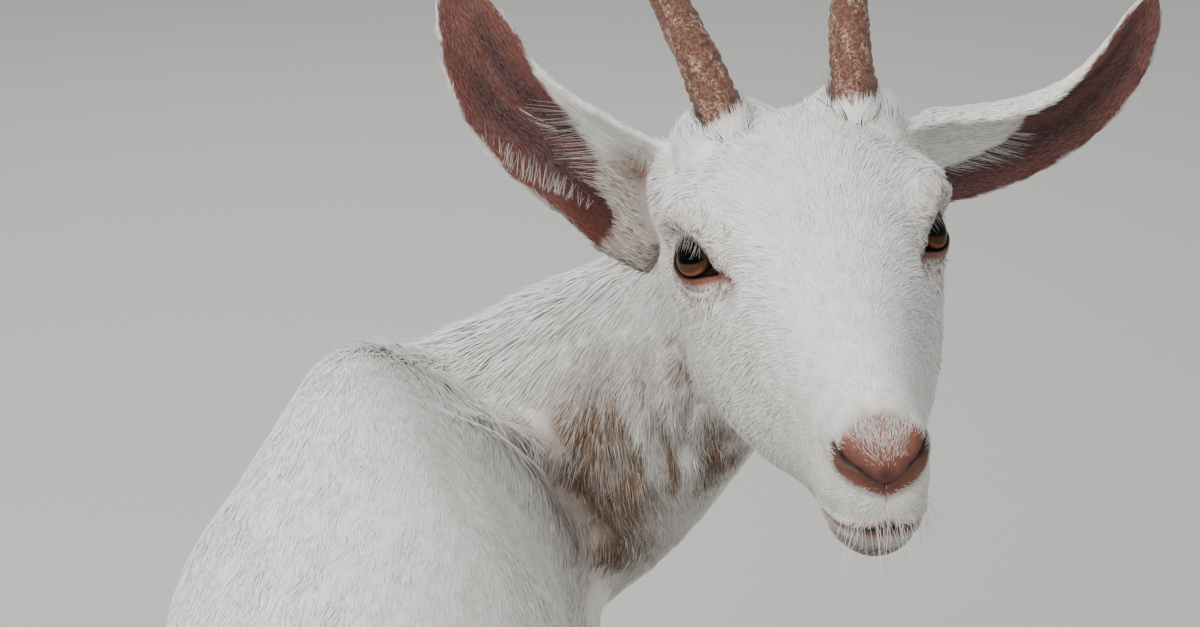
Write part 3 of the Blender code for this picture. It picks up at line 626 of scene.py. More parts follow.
def row_at(at, rows):
    """Rows of numbers read at places between them."""
    return np.stack([np.interp(at, np.arange(len(rows)), column) for column in rows.T], -1)


def on_ear(side, head):
    """For points near an ear: share of its length, place across from -1 to 1, height over the
    middle of the ear, and the ear's own axes there (along, across, facing)."""
    rows = np.array(EARS[side], float)
    _, share = along_line(head, rows[:, :3])
    at = share * (len(rows) - 1)
    row = row_at(at, rows)
    along = unit(row_at(at, unit(np.gradient(rows[:, :3], axis=0))))
    turn = np.radians(row[:, 4])
    facing = np.stack((np.zeros(len(turn)), np.cos(turn), -np.sin(turn)), 1)
    facing = unit(facing - along * (along * facing).sum(1, keepdims=True))
    across = np.cross(along, facing)
    offset = head - row[:, :3]
    return (share, (offset * across).sum(1) / row[:, 3], (offset * facing).sum(1),
            along, across, facing)


co = places(flesh)
head, body = in_head(co), in_body(co)
normal = normals(flesh)
head_normal = normal @ head_axes.T
part = nearest_flesh(co)
ends, count = links_of(flesh)
shares = np.zeros((len(co), len(FLESH)))
shares[np.arange(len(co)), part] = 1
share_of = dict(zip(FLESH, spread(shares, ends, count, 6).T))
of_head = share_of["head"]

ear_inside = np.zeros(len(co))
ear_channel_shade = np.zeros(len(co))
lie = np.zeros((len(co), 3))
lift = np.zeros(len(co))
for name in SIDES:
    mask = share_of["ear_" + name] > 0.02
    share, across, _, along_axis, _, facing = on_ear(name, head[mask])
    root = np.array(EAR_ROOT[name])
    inside = rise((head_normal[mask] * facing).sum(1), -0.3, 0.15)
    inside *= rise(0.98 - np.abs(across), 0.0, 0.04)
    fading = 0.03 + 0.05 * rise(across, -0.1, 0.4) * (name == "right")
    inside *= rise(share - np.interp(across, root[:, 0], root[:, 1]), -0.012, fading)
    ear_inside[mask] = np.maximum(ear_inside[mask], inside)
    lie[mask] += along_axis * share_of["ear_" + name][mask][:, None]
    # Each channel is sunk a little and painted darker red, as shade in the groove
    for channel, reach in zip(EAR_CHANNELS[name], (0.26, 0.24)):
        flat = np.stack((share * EAR_ASPECT, across, np.zeros(len(share))), 1)
        d, _ = along_line(flat, [(s * EAR_ASPECT, c, 0.0) for s, c in channel])
        ear_channel_shade[mask] = np.maximum(ear_channel_shade[mask], bell(d, reach))
        lift[mask] -= 0.10 * bell(d, reach) * inside
co = co + normal * (lift * CM)[:, None]
set_places(flesh, co)

depth = pad_depth(head)
d_mouth, share_mouth = along_line(near, MOUTH)
lips = bell(d_mouth, 0.2 + 0.3 * rise(share_mouth, 0.35, 0.8)) * rise(share_mouth, 0.0, 0.2) * front
rim = 1 - rise(ring_row, 5.5, 8.5)
d_nostril, _ = along_line(near, NOSTRIL)
d_philtrum, _ = along_line(near, PHILTRUM)
surface = surface_of(flesh)
tear_line = laid(TEAR_LINE, surface, in_head, from_head)
d_tear, share_tear = along_line(near, tear_line)
under_tear, _ = along_line(near + (0.0, 0.0, 0.13), tear_line)
# The tear's mark fades down the face, and is on the face alone
on_tear = rise(1 - share_tear, 0, 0.5) * (head[:, 1] > 0)
# Near black: painted shade in the nostrils, the parting of the lips, the groove of the philtrum and the
# cleft under the nose; also dark at the rims of the lids and along the tear line
dark = np.maximum.reduce([
    bell(d_mouth, 0.09 + 0.07 * rise(share_mouth, 0.4, 0.8)) * front,
    bell(d_nostril, 0.12 + 0.22 * wide) * front,
    0.65 * bell(d_nostril, 0.34 + 0.12 * wide) * front,
    bell(d_philtrum, 0.06) * front,
    0.85 * bell(np.linalg.norm(near - (0.0, 13.1, -1.22), axis=1), 0.36),
    1 - rise(ring_row, 4.5, 6.6),
    0.6 * bell(d_tear, 0.08) * on_tear])
lid_skin = np.zeros(len(co))
near_eye = np.zeros(len(co))
from_eye = np.zeros((len(co), 3))
for side in SIDES.values():
    nasal, upward, _ = eye_axes(side)
    a, u, h = in_eye(side, head)
    close = (np.hypot(a, u) < 2.6) & (h > -0.2)
    under = rise(0.35 - u, 0, 0.3) * rise(a, -0.7, 0.4)
    lid_skin = np.maximum(
        lid_skin, close * (1 - rise(ring_row, 6.0 + 3.0 * under, 9.0 + 9.0 * under)))
    around = np.hypot((a - 0.1) / 1.25, u - 0.15)
    near_eye = np.maximum(near_eye, (h > -0.6) * (1 - rise(around, 1.1, 2.5)))
    from_eye += ((h > -0.6) * (1 - rise(around, 1.3, 2.2)))[:, None] * (
        np.outer(a - 0.1, nasal) + np.outer(u - 0.15, upward))
# Dark roots of whiskers, in rows along the upper lip
for k, across in enumerate(np.linspace(0.12, 1.5, 26)):
    speck = (across, 12.95 - 0.28 * across * across - 0.02 * k, -1.9 - 0.32 * (k % 4) - 0.12 * across)
    dark = np.maximum(dark, 0.8 * bell(np.linalg.norm(near - speck, axis=1), 0.05))
tear = bell(np.minimum(d_tear, under_tear), 0.28) * on_tear
near_eye *= of_head
from_eye *= of_head[:, None]
pink = np.maximum.reduce([
    rise(depth, -0.05, 0.15) * (head[:, 1] > 10.5), lips, rim, lid_skin, tear, 0.45 * near_eye,
    0.3 * rise(head[:, 1], 8, 12) * front * of_head])
short_haired = rise(head[:, 2] + 0.75 * rise(1.0 - np.abs(head[:, 0]), 0, 0.6), -0.25, 0.4)
pad_hair = short_haired * (0.30 + 0.35 * rise(head[:, 2], -0.5, 0.4))
bare = np.maximum.reduce([
    rise(depth, -0.03, 0.3) * (head[:, 1] > 10.5) * (1 - pad_hair), rise(lips, 0.2, 0.8), rim,
    0.85 * rise(lid_skin, 0.45, 1.0), 0.92 * rise(tear, 0.1, 0.8), 0.25 * near_eye,
    bell(d_nostril, 0.3) * front, buried])


def near_line(line, width):
    """1 on a line laid on the hide, fading to the sides over a width; for body coordinates."""
    return bell(along_line(body, laid(line, surface, in_body, from_body))[0], width)


def below(top, fade):
    """1 well below a height over the ground, and 0 above it."""
    return rise(top - body[:, 2], 0, fade)


# Brown along the grooves of the neck, the shoulder crease and under the jaw, more of it lower down and
# less on the ridges: painted shade in the folds and under the jaw, with some real staining
stain_and_shade = np.zeros(len(co))
low_down = below(55, 5.5)
jaw_down = below(57.5, 4.5)
for line, width, amount in ((NECK_GROOVES[0], 0.55, 0.25 + 0.9 * low_down),
                            (NECK_GROOVES[1], 0.5, 0.62),
                            (NECK_GROOVES[0], 1.9, 0.62 * jaw_down),
                            (NECK_GROOVES[1], 1.6, 0.55 * jaw_down),
                            (NECK_GROOVES[2], 2.4, 0.62 * jaw_down),
                            (NECK_GROOVES[2], 1.3, 0.95 * below(55.5, 4.5)),
                            (NECK_GROOVES[3], 2.2, below(55.5, 5)),
                            (SHOULDER_CREASE, 0.6, 0.75 * below(51.8, 2.5)),
                            (UNDER_JAW, 1.3, 0.9)):
    stain_and_shade = np.maximum(stain_and_shade, amount * near_line(line, width))
for line in NECK_RIDGES:
    stain_and_shade *= 1 - 0.4 * near_line(line, 0.36)
stain_and_shade = np.clip(stain_and_shade * (1 + 0.22 * waves(body * (1, 1, 0.2), 0.7, 5)), 0, 1)
stain_and_shade *= 1 - of_head - share_of["ear_right"] - share_of["ear_left"]
# The root of the right ear is grey-buff, partly painted shade and partly stain, with a raw patch in front
# and a brown crease at the cheek that is painted shade in the crease
share, across, *_ = on_ear("right", head)
of_ear = rise(share_of["ear_right"], 0.02, 0.3)
ear_root = of_ear * rise(0.36 - share - 0.06 * across, 0, 0.16) * rise(0.75 - across, 0, 0.4)
crease = of_ear * bell(share - 0.03, 0.035) * rise(0.7 - np.abs(across), 0, 0.3)
raw = of_ear * bell(np.hypot((share - 0.19) / 0.045, (across - 0.2) / 0.2), 1.0)
chin = rise(-head[:, 2], 3.2, 4.4) * rise(head[:, 1], 9.0, 12) * front * of_head
pink = np.maximum(pink, 0.8 * raw)
stain_and_shade = np.maximum.reduce([stain_and_shade, 0.62 * ear_root, 0.8 * crease, 0.75 * raw, 0.8 * chin])
freckled = 0.95 * np.maximum(near_eye, bell(np.linalg.norm(near - (3.3, 1.6, 1.1), axis=1), 1.1))
rosy = np.maximum.reduce([
    ear_inside * 0.92, 0.75 * lid_skin, 0.95 * tear, 0.85 * bell(under_tear, 0.42) * on_tear,
    0.5 * raw, 0.45 * rise(depth, -0.1, 0.2), 0.4 * lips])


# ---------------------------------------------------------------- how the coat lies

# The hair starts at the nose, runs up the bridge, turns out over the cheeks, and then back along
# the neck and trunk and down the legs. It is shortest on the muzzle, ears and feet.
TAIL_WAY = np.array((0.0, 0.35, 1.0))
# The first stretch of each horn, which the hair of the poll climbs
HORN_LINES = {"right": np.array([(2.3, -4.4, 3.4), (3.0, -5.5, 5.6)]),
              "left": np.array([(-2.4, -4.4, 3.4), (-2.6, -5.5, 5.4)])}
# Length and width of a tuft in centimetres, and how far it stands off, in degrees
HAIR = {"head": (0.75, 0.042, 9), "neck": (1.4, 0.040, 6), "trunk": (0.95, 0.046, 6),
        "tail": (3.0, 0.12, 18), "ear_right": (0.55, 0.045, 8), "ear_left": (0.55, 0.045, 8),
        "foreleg_right": (0.9, 0.075, 9), "foreleg_left": (0.9, 0.075, 9),
        "hindleg_right": (1.0, 0.08, 9), "hindleg_left": (1.0, 0.08, 9)}

def columns(*values):
    """Rows of numbers, one for each point, from values that are the same or differ by point."""
    return np.stack(np.broadcast_arrays(*values), 1)


def turned_to(ways, weight, others):
    """Ways that change to others as a weight goes from 0 to 1."""
    return ways * (1 - weight[:, None]) + weight[:, None] * others


x, y, z = head.T
ax, sx = np.abs(x), np.sign(x)
on_head = turned_to(columns(0.22 * x, -1.0, 0.2), rise(ax + 0.35 * np.maximum(2.0 - z, 0), 0.4, 3.6),
                    columns(0.1 * sx, -0.8, -0.75))
on_head = turned_to(on_head, rise(z, 1.2, 3.2) * rise(2.5 - y, 0, 3),
                    columns(sx * rise(ax, 0.1, 2.6) * 0.95, -1.35, 0.45))
on_head = turned_to(on_head, bell(np.linalg.norm(near - (4.1, -1.4, 2.4), axis=1), 1.3),
                    columns(sx, 0.15, -0.5))
for line in HORN_LINES.values():
    beside, _ = along_line(head, line)
    on_head = turned_to(on_head, 1 - rise(beside, 1.3, 2.6), unit(line[1] - line[0]))
away = np.linalg.norm(from_eye, axis=1, keepdims=True)
on_head = np.where(away > 0, unit(on_head) * 0.5 + unit(from_eye) * np.minimum(1, away) * 1.5, on_head)
lie += on_head * of_head[:, None]
lie = lie @ head_axes

neck_line = np.array(NECK)[::-1]
_, share = along_line(body, neck_line)
on_neck = row_at(share * (len(NECK) - 1), unit(np.gradient(neck_line, axis=0))) + (0, 0.1, -0.45)
on_neck = turned_to(on_neck, below(55.5, 5) * rise(-8 - body[:, 0], 0, 4), np.array((-0.14, 0.05, -1.0)))
lie += on_neck * share_of["neck"][:, None]
before = -body[:, 1]
on_trunk = columns(0.0, 1.0 - 0.6 * rise(before, 2, 9),
                   -0.1 - 0.7 * np.abs(normal[:, 0]) - 1.0 * rise(before, 3, 9))
lie += on_trunk * share_of["trunk"][:, None]
lie += TAIL_WAY * share_of["tail"][:, None]
LEGS = FLESH[6:]
for leg in LEGS:
    lie += np.array((0, 0.12, -1.0)) * share_of[leg][:, None]


def flattened(ways, normal):
    return unit(ways - normal * (ways * normal).sum(1, keepdims=True))


lie = flattened(lie, normal)
for _ in range(10):
    lie = flattened(lie * 0.4 + neighbour_mean(lie, ends, count), normal)

hair = sum(share_of[name][:, None] * HAIR[name] for name in FLESH)
length, width, stand = hair.T
muzzle = rise(y, 4.0, 11.0) * of_head
length *= 1 - 0.62 * muzzle
width *= 1 - 0.35 * muzzle
poll = rise(z, 2.4, 4.0) * rise(-2.0 - y, 0, 3) * of_head
length += 0.35 * poll
stand += 3 * poll
length += 0.5 * rise(-z, 4.5, 7) * of_head
crest = rise(normal[:, 2], 0.35, 0.75) * share_of["neck"]
length += 0.7 * crest
width += 0.02 * crest
stand += 12 * crest
belly = rise(-normal[:, 2], 0.3, 0.8) * share_of["trunk"]
length += 0.8 * belly
feet = sum(share_of[leg] for leg in LEGS) * below(14, 10)
length *= 1 - 0.4 * feet
width *= 1 - 0.25 * feet
near_eye = np.maximum(near_eye, 0.8 * bell(d_tear, 0.75) * rise(1 - share_tear, 0, 0.3))
length *= (1 - 0.72 * near_eye) * (1 - 0.4 * tear)
width *= 1 - 0.35 * near_eye
length *= 1 - 0.45 * ear_inside
width *= 1 - 0.4 * ear_inside
on_pad = rise(depth, -0.25, 0.05)
length *= 1 - 0.3 * on_pad
width *= 1 - 0.35 * on_pad


# ---------------------------------------------------------------- hide material

# Living hide is matt and slightly pink under white hair, moist and pebbled where it is bare: the
# nose pad, the lips and the lids. The thin skin in the cup of an ear shows the blood behind it.
# Noises are in blotches per metre, so 900 is about a millimetre.


def linear(hex_colour):
    """An sRGB hex colour as linear RGBA."""
    values = [int(hex_colour[i:i + 2], 16) / 255 for i in (1, 3, 5)]
    return (*[v / 12.92 if v <= 0.04045 else ((v + 0.055) / 1.055) ** 2.4 for v in values], 1.0)


def add(tree, kind, inputs=None, output=0, **settings):
    """Adds a node with its settings and links, and returns one of its outputs. An input is a value
    or another node's output."""
    made = tree.nodes.new("ShaderNode" + kind)
    for name, value in settings.items():
        setattr(made, name, value)
    for key, value in (inputs or {}).items():
        if isinstance(value, bpy.types.NodeSocket):
            tree.links.new(value, made.inputs[key])
        else:
            made.inputs[key].default_value = value
    return made.outputs[output]


def new_material(name, **shader):
    """A material and its nodes, with the shader's values by their names."""
    material = bpy.data.materials.new(name)
    material.use_nodes = True
    tree = material.node_tree
    for key, value in shader.items():
        tree.nodes["Principled BSDF"].inputs[key.replace("_", " ")].default_value = value
    return material, tree


def layered(tree, colour, *layers):
    """A colour with others laid over it, each by how far it covers what is under it. Colours are
    hex or a node's output, and a cover is the name of a mark on the mesh or a node's output."""
    colour = linear(colour) if isinstance(colour, str) else colour
    for cover, over in layers:
        if isinstance(cover, str):
            cover = add(tree, "Attribute", None, "Fac", attribute_name=cover)
        over = linear(over) if isinstance(over, str) else over
        colour = add(tree, "Mix", {0: cover, 6: colour, 7: over}, 2, data_type="RGBA")
    return colour


def finish_material(tree, colour, relief=None, strength=0.0, depth=0.0):
    """Links the colour and, where there is relief, a bump of some strength and depth in metres."""
    shader = tree.nodes["Principled BSDF"].inputs
    tree.links.new(colour, shader["Base Color"])
    if relief is not None:
        bump = add(tree, "Bump", {"Height": relief, "Strength": strength, "Distance": depth})
        tree.links.new(bump, shader["Normal"])


hide, tree = new_material("goat_hide", Roughness=0.62, IOR=1.42)
at = add(tree, "TexCoord", None, "Object")
pores, blotches, veins = [add(tree, "TexNoise", {"Vector": at, "Scale": scale, "Detail": 3.0}, "Fac")
                          for scale in (900.0, 260.0, 300.0)]
# Brown over the ground of the hide: real staining, and painted shade in the folds of the neck, the
# shoulder crease and under the jaw
under = layered(tree, "#CFC9BF", (pores, "#E9E7E2"), ("stain_and_shade", "#5F4734"))
naked = layered(tree, "#5B2D21", (blotches, "#855444"))
# The cup of the ear: red thin skin, darker in the channels as painted shade
cup = layered(tree, "#4C1D15", (veins, "#6C3529"), ("ear_channel_shade", "#330A06"))
# Near black where the dark mark is: painted shade in the nostrils, the parting of the lips and the groove
# under the nose, and the dark whisker roots
colour = layered(tree, under, ("ear_inside", cup), ("pink", naked), ("dark", "#220D0A"))
finish_material(tree, colour, pores, 0.5, 0.0006)


def give(mesh, name, values):
    layer = mesh.attributes.new(name, "FLOAT", "POINT")
    layer.data.foreach_set("value", np.ascontiguousarray(values, np.float32))


flesh.shade_smooth()
for name, values in (("pink", pink), ("dark", dark), ("stain_and_shade", stain_and_shade), ("ear_inside", ear_inside),
                     ("ear_channel_shade", ear_channel_shade)):
    give(flesh, name, np.clip(values, 0, 1))
skin = new_object("hide", flesh)
skin.modifiers.new("triangles", "TRIANGULATE")
flesh = applied(skin)
# The coat grows from the full mesh; the hide under it is thinned a little where it is flat
SKIN_SHARE = 0.86
skin = new_object("hide", thinned("thinned", flesh.copy(), SKIN_SHARE), hide)
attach(skin, "root")
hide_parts(*FLESH)


# ---------------------------------------------------------------- the coat

# White goat hair in pointed tufts, each a thin solid spindle bent along the body: a buried root, a
# middle of three corners and a tip. They overlap like thatch and carry the markings of the hide.
TUFT_FACES = np.array([(0, 2, 3), (0, 3, 1), (0, 1, 2), (4, 3, 2), (4, 1, 3), (4, 2, 1)])
TUFT_BEND = 0.42
TUFT_ALONG = np.array((0.0, TUFT_BEND, TUFT_BEND, TUFT_BEND, 1.0))
# How far a tuft's two edges are shaded apart, and how deep its root is buried, as a share of it
ROUNDED = 0.45
BURIED = 0.035
# Where the points of one tuft lie in the unwrap, from its own middle
BAKE_PATCH = np.array(((0.0, -0.0015), (0.0013, 0.0), (-0.0013, 0.0), (0.0002, 0.0004), (0.0, 0.0015)))

coat, tree = new_material("goat_hair", Roughness=0.6, IOR=1.3)
# Each tuft and strand is darker and warmer towards its root: painted shade of the depth of the coat
white = layered(tree, "#DAD6CE", ("along", "#F1F1EE"))
dull = layered(tree, "#BDB5A9", ("along", "#DEDCD6"))
# Brown hair where the hide is browned: real staining, and painted shade in the folds of the neck and
# under the jaw
brown = layered(tree, "#80634A", ("shade", "#41291A"))
# Hair in the ear's channels is darker, as painted shade in the grooves
velvet = layered(tree, "#6F3C30", ("shade", "#481C13"), ("ear_channel_shade", "#3A100B"))
finish_material(tree, layered(tree, white, ("shade", dull), ("stain_and_shade", brown), ("rosy", velvet)))

# The triangles of the hide, with their corners and areas in square centimetres
corners = np.empty(len(flesh.polygons) * 3, np.int32)
flesh.polygons.foreach_get("vertices", corners)
corners = corners.reshape(-1, 3)
co = places(flesh)
normal = normals(flesh)
edge_a = co[corners[:, 1]] - co[corners[:, 0]]
edge_b = co[corners[:, 2]] - co[corners[:, 0]]
area = np.linalg.norm(np.cross(edge_a, edge_b), axis=1) / 2 / CM ** 2


def hair_mesh(name, points, faces, patch, marks, shaded, material):
    """A mesh of many like closed solids: points and marks by solid, faces of one, and its unwrap."""
    n, k = points.shape[:2]
    corner = (np.arange(n)[:, None, None] * k + faces).reshape(-1)
    mesh = bpy.data.meshes.new(name)
    mesh.vertices.add(n * k)
    mesh.loops.add(len(corner))
    mesh.polygons.add(len(corner) // 3)
    mesh.vertices.foreach_set("co", points.astype(np.float32).ravel())
    mesh.loops.foreach_set("vertex_index", corner.astype(np.int32))
    mesh.polygons.foreach_set("loop_start", np.arange(0, len(corner), 3, dtype=np.int32))
    mesh.uv_layers.new(name="OFBake").data.foreach_set("uv", patch.astype(np.float32).ravel())
    for key, values in marks.items():
        values = values if values.ndim == 2 else np.repeat(values[:, None], k, 1)
        give(mesh, key, np.clip(values, 0, 1).ravel())
    mesh.update(calc_edges=True)
    mesh.shade_smooth()
    layer = mesh.attributes.new("custom_normal", "FLOAT_VECTOR", "POINT")
    layer.data.foreach_set("vector", unit(shaded).astype(np.float32).ravel())
    obj = new_object(name, mesh, material)
    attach(obj, "root")


def patches(unwrap, small):
    """Each solid's own patch of the unwrap, at its root's place, as corner coordinates."""
    low, high = unwrap.min(0), unwrap.max(0)
    middle = 0.01 + 0.98 * (unwrap - low) / np.maximum(high - low, 1e-9)
    return middle[:, None, None] + small


def tufts(name, roots, out, way, length, width, stand, marks, unwrap, material, rounded=ROUNDED):
    """One mesh of tufts; sizes in centimetres, stand in degrees, unwrap as it falls."""
    side = np.cross(out, way)
    first, second = np.radians(stand), np.radians(stand * 0.25)
    length, width = length[:, None] * CM, width[:, None] * CM / 2
    rising = way * np.cos(first)[:, None] + out * np.sin(first)[:, None]
    lying = way * np.cos(second)[:, None] + out * np.sin(second)[:, None]
    base = roots - out * length * BURIED
    middle = base + rising * length * TUFT_BEND
    tip = middle + lying * length * (1 - TUFT_BEND)
    points = np.stack((base, middle + side * width, middle - side * width,
                       middle + out * width * 0.8, tip), 1)
    # Shaded mostly as the hide is, so that the coat reads as one soft surface
    shaded = np.stack((out - way * 0.2, out * 0.85 + side * rounded, out * 0.85 - side * rounded, out,
                       out + way * 0.2), 1)
    marks = dict(marks, along=np.repeat(TUFT_ALONG[None], len(roots), 0))
    hair_mesh(name, points, TUFT_FACES, patches(unwrap, BAKE_PATCH[TUFT_FACES]), marks, shaded, material)


# Points along a hair, and how far its two closed ends stand out, in metres
STRAND_POINTS = 5
STRAND_END = 2e-4


def strands(name, roots, out, way, length, thick, droop, marks, unwrap, material):
    """Single long hairs: three-sided, closed and tapered, leaving the root along way and sagging by
    droop (a vector per unit of length). Sizes in centimetres."""
    t = np.linspace(0, 1, STRAND_POINTS)[None, :, None]
    run = (length * CM)[:, None, None]
    line = roots[:, None] + run * (way[:, None] * t + droop[:, None] * t ** 2)
    side = unit(np.cross(way, out))
    other = unit(np.cross(way, side))
    thin = (thick * CM)[:, None, None] * (1.0 - 0.75 * t)
    ring = [line + thin * (side[:, None] * math.cos(a) + other[:, None] * math.sin(a))
            for a in np.radians((90, 210, 330))]
    end = way[:, None] * STRAND_END
    points = np.concatenate((np.stack(ring, 2).reshape(len(roots), -1, 3), line[:, -1:] + end,
                             line[:, :1] - end), 1)
    middles = np.concatenate((np.repeat(line, 3, 1), line[:, -1:], line[:, :1]), 1)
    last = 3 * STRAND_POINTS
    sides = ((0, 1), (1, 2), (2, 0))
    starts = range(0, last - 3, 3)
    faces = [(k + i, k + j, k + 3 + j) for k in starts for i, j in sides]
    faces += [(k + i, k + 3 + j, k + 3 + i) for k in starts for i, j in sides]
    faces += [(last - 3 + i, last - 3 + j, last) for i, j in sides]
    faces += [(j, i, last + 1) for i, j in sides]
    faces = np.array(faces)
    level = np.concatenate((np.repeat(t[0, :, 0], 3), (1.0, 0.0)))
    turn = np.concatenate((np.tile((0.0, 1.0, 2.0), STRAND_POINTS), (1.0, 1.0)))
    small = np.stack(((turn - 1) * 0.0013, (level - 0.5) * 0.003), 1)
    shaded = out[:, None] + unit(points - middles + 1e-9) * 0.6
    marks = dict(marks, along=np.repeat(level[None], len(roots), 0))
    hair_mesh(name, points, faces, patches(unwrap, small[faces]), marks, shaded, material)


def sow(name, chosen, density, total, unwrap_of, seed, rounded=ROUNDED):
    """Roots spread over some triangles of the hide by density, and the tufts that grow there."""
    own = np.random.default_rng(seed)
    weight = area * chosen * density[corners].mean(1)
    cumulative = np.cumsum(weight)
    steps = (np.arange(total) + own.random(total)) / total * cumulative[-1]
    picked = np.minimum(np.searchsorted(cumulative, steps), len(area) - 1)
    b = own.random((total, 2))
    b = np.where(b.sum(1, keepdims=True) > 1, 1 - b, b)
    weights = np.stack((1 - b.sum(1), b[:, 0], b[:, 1]), 1)
    three = corners[picked]

    def at(values):
        if values.ndim == 1:
            return (values[three] * weights).sum(1)
        return (values[three] * weights[:, :, None]).sum(1)

    roots = at(co)
    out = unit(at(normal))
    way = flattened(at(lie), out)
    where = in_head(roots)
    clump = waves(where, 1.1, seed + 1)
    turn = np.radians(9 * clump + 7 * own.normal(size=total))[:, None]
    way = way * np.cos(turn) + np.cross(out, way) * np.sin(turn)
    size = own.uniform(0.75, 1.25, total) * (1 + 0.12 * waves(where, 0.7, seed + 2))
    tall = at(stand) * np.clip(1 + 0.3 * waves(where, 0.9, seed + 3) + 0.3 * own.normal(size=total),
                               0.15, 2.5)
    shade = np.clip(0.42 + 0.28 * waves(where, 0.5, seed + 4) + 0.25 * own.normal(size=total), 0, 1)
    # The hide's brown at the root, stain and painted shade in the folds, with freckles near the eyes
    tuft_stain_and_shade = at(stain_and_shade) * (1 + 0.25 * own.normal(size=total))
    tuft_stain_and_shade += at(freckled) * (own.random(total) < 0.4)
    marks = {"shade": shade, "stain_and_shade": tuft_stain_and_shade, "rosy": at(rosy), "ear_channel_shade": at(ear_channel_shade * ear_inside)}
    tufts(name, roots, out, way, at(length) * size, at(width) * size, tall, marks, unwrap_of(roots),
          coat, rounded)


# Tufts are densest where the camera looks. It looks down by an angle, and the picture's edges are
# slopes from its middle.
CAMERA = between_eyes + np.array((0.0764, 0.6340, 0.2691))
VIEW_DOWN = math.radians(25)
HALF_WIDE = math.tan(math.radians(17.5))
HALF_HIGH = HALF_WIDE * 0.5225
ahead = np.array((0, -math.cos(VIEW_DOWN), -math.sin(VIEW_DOWN)))
upright = np.array((0, -math.sin(VIEW_DOWN), math.cos(VIEW_DOWN)))
sight = co - CAMERA
distance = sight @ ahead
aside = np.abs(sight[:, 0]) / distance / HALF_WIDE
above = np.abs(sight @ upright) / distance / HALF_HIGH
seen = rise((unit(CAMERA - co) * normal).sum(1), -0.35, 0.15)
seen *= rise(1.25 - aside, 0, 0.2) * rise(1.25 - above, 0, 0.2)
region = part[corners].max(1)
fine = (1 - bare) * (1 - 0.7 * ear_inside) / (length * width)


def in_region(*names):
    return np.isin(region, [FLESH.index(n) for n in names])


def round_head(points):
    h = in_head(points)
    return np.stack((np.arctan2(np.abs(h[:, 0]), h[:, 2] + 2.5), h[:, 1]), 1)


def round_neck(points):
    b = in_body(points)
    _, share = along_line(b, NECK)
    off = b - row_at(share * (len(NECK) - 1), np.array(NECK))
    return np.stack((np.arctan2(off[:, 0] + off[:, 1], off[:, 2]), share), 1)


def round_trunk(points):
    b = in_body(points)
    return np.stack((np.arctan2(b[:, 0], b[:, 2] - 42.0), b[:, 1]), 1)


def round_legs(points):
    b = in_body(points)
    left, hind = b[:, 0] > -0.5, b[:, 1] > 20
    angle = np.arctan2(b[:, 0] - np.where(left, 6, -6), b[:, 1] - np.where(hind, 38, -2))
    return np.stack((angle / (2 * math.pi) * 0.9 + left, b[:, 2]), 1)


def round_ears(points):
    h = in_head(points)
    result = np.zeros((len(h), 2))
    for k, name in enumerate(SIDES):
        mine = (h[:, 0] > 0) == (k == 0)
        share, across, height, *_ = on_ear(name, h[mine])
        result[mine] = np.stack((np.arctan2(across, height), share + 1.05 * k), 1)
    return result


visible = fine * (0.22 + seen)
middle = co[corners].mean(1)
sideways, along_body, height = in_head(middle)[:, 0], *in_body(middle)[:, 1:].T
sow("coat_face_right", in_region("head") & (sideways > 0), visible, 33000, round_head, 11)
sow("coat_face_left", in_region("head") & (sideways <= 0), visible, 31000, round_head, 21)
sow("coat_ears", in_region("ear_right", "ear_left"), visible, 26000, round_ears, 31)
sow("coat_neck_upper", in_region("neck") & (height > 54), visible, 27000, round_neck, 41)
sow("coat_neck_lower", in_region("neck") & (height <= 54), visible, 30000, round_neck, 46)
TRUNK_CUTS = (-99, 6, 22, 99)
for k, (start, end, total) in enumerate(zip(TRUNK_CUTS, TRUNK_CUTS[1:], (33000, 25000, 18000))):
    sow(f"coat_trunk_{k + 1}", in_region("trunk") & (along_body > start) & (along_body <= end),
        fine * (0.25 + seen), total, round_trunk, 51 + 10 * k, 0.3)
sow("coat_forelegs", in_region("foreleg_right", "foreleg_left"), fine, 10000, round_legs, 91)
sow("coat_hindlegs", in_region("hindleg_right", "hindleg_left"), fine, 10000, round_legs, 101)
sow("coat_tail", in_region("tail"), fine, 4000, round_trunk, 111)


# ---------------------------------------------------------------- lashes, whiskers and ear hairs

# Single stiff white hairs, longer than the coat: lashes on the upper lids, whiskers on the lips, and
# the hairs that cross the mouths of the ears. Each is a thin tapered solid.
hide_surface = BVHTree.FromPolygons(co.tolist(), corners.tolist())
own = np.random.default_rng(77)


def on_hide(start, way):
    """Where a line from a head place in a head direction meets the hide, and the normal there."""
    hit = hide_surface.ray_cast(Vector(from_head(start)), Vector(way @ head_axes), 0.12)
    return (None, None) if hit[0] is None else (np.array(hit[0]), np.array(hit[1]))


def white_marks(shade):
    """The marks of clean white hair, of some shade each."""
    return {"shade": shade, "stain_and_shade": shade * 0, "rosy": shade * 0, "ear_channel_shade": shade * 0}


def grow(name, found, thick, unwrap_of):
    """Strands from rows of (root, normal, way and droop in head axes, length)."""
    roots, out, way, droop, length = (np.array(column) for column in zip(*found))
    way = unit(way @ head_axes)
    marks = white_marks(own.uniform(0, 0.6, len(roots)))
    strands(name, roots - way * 0.0006, out, way, length, thick * own.uniform(0.7, 1.1, len(roots)),
            droop @ head_axes, marks, unwrap_of(roots), coat)


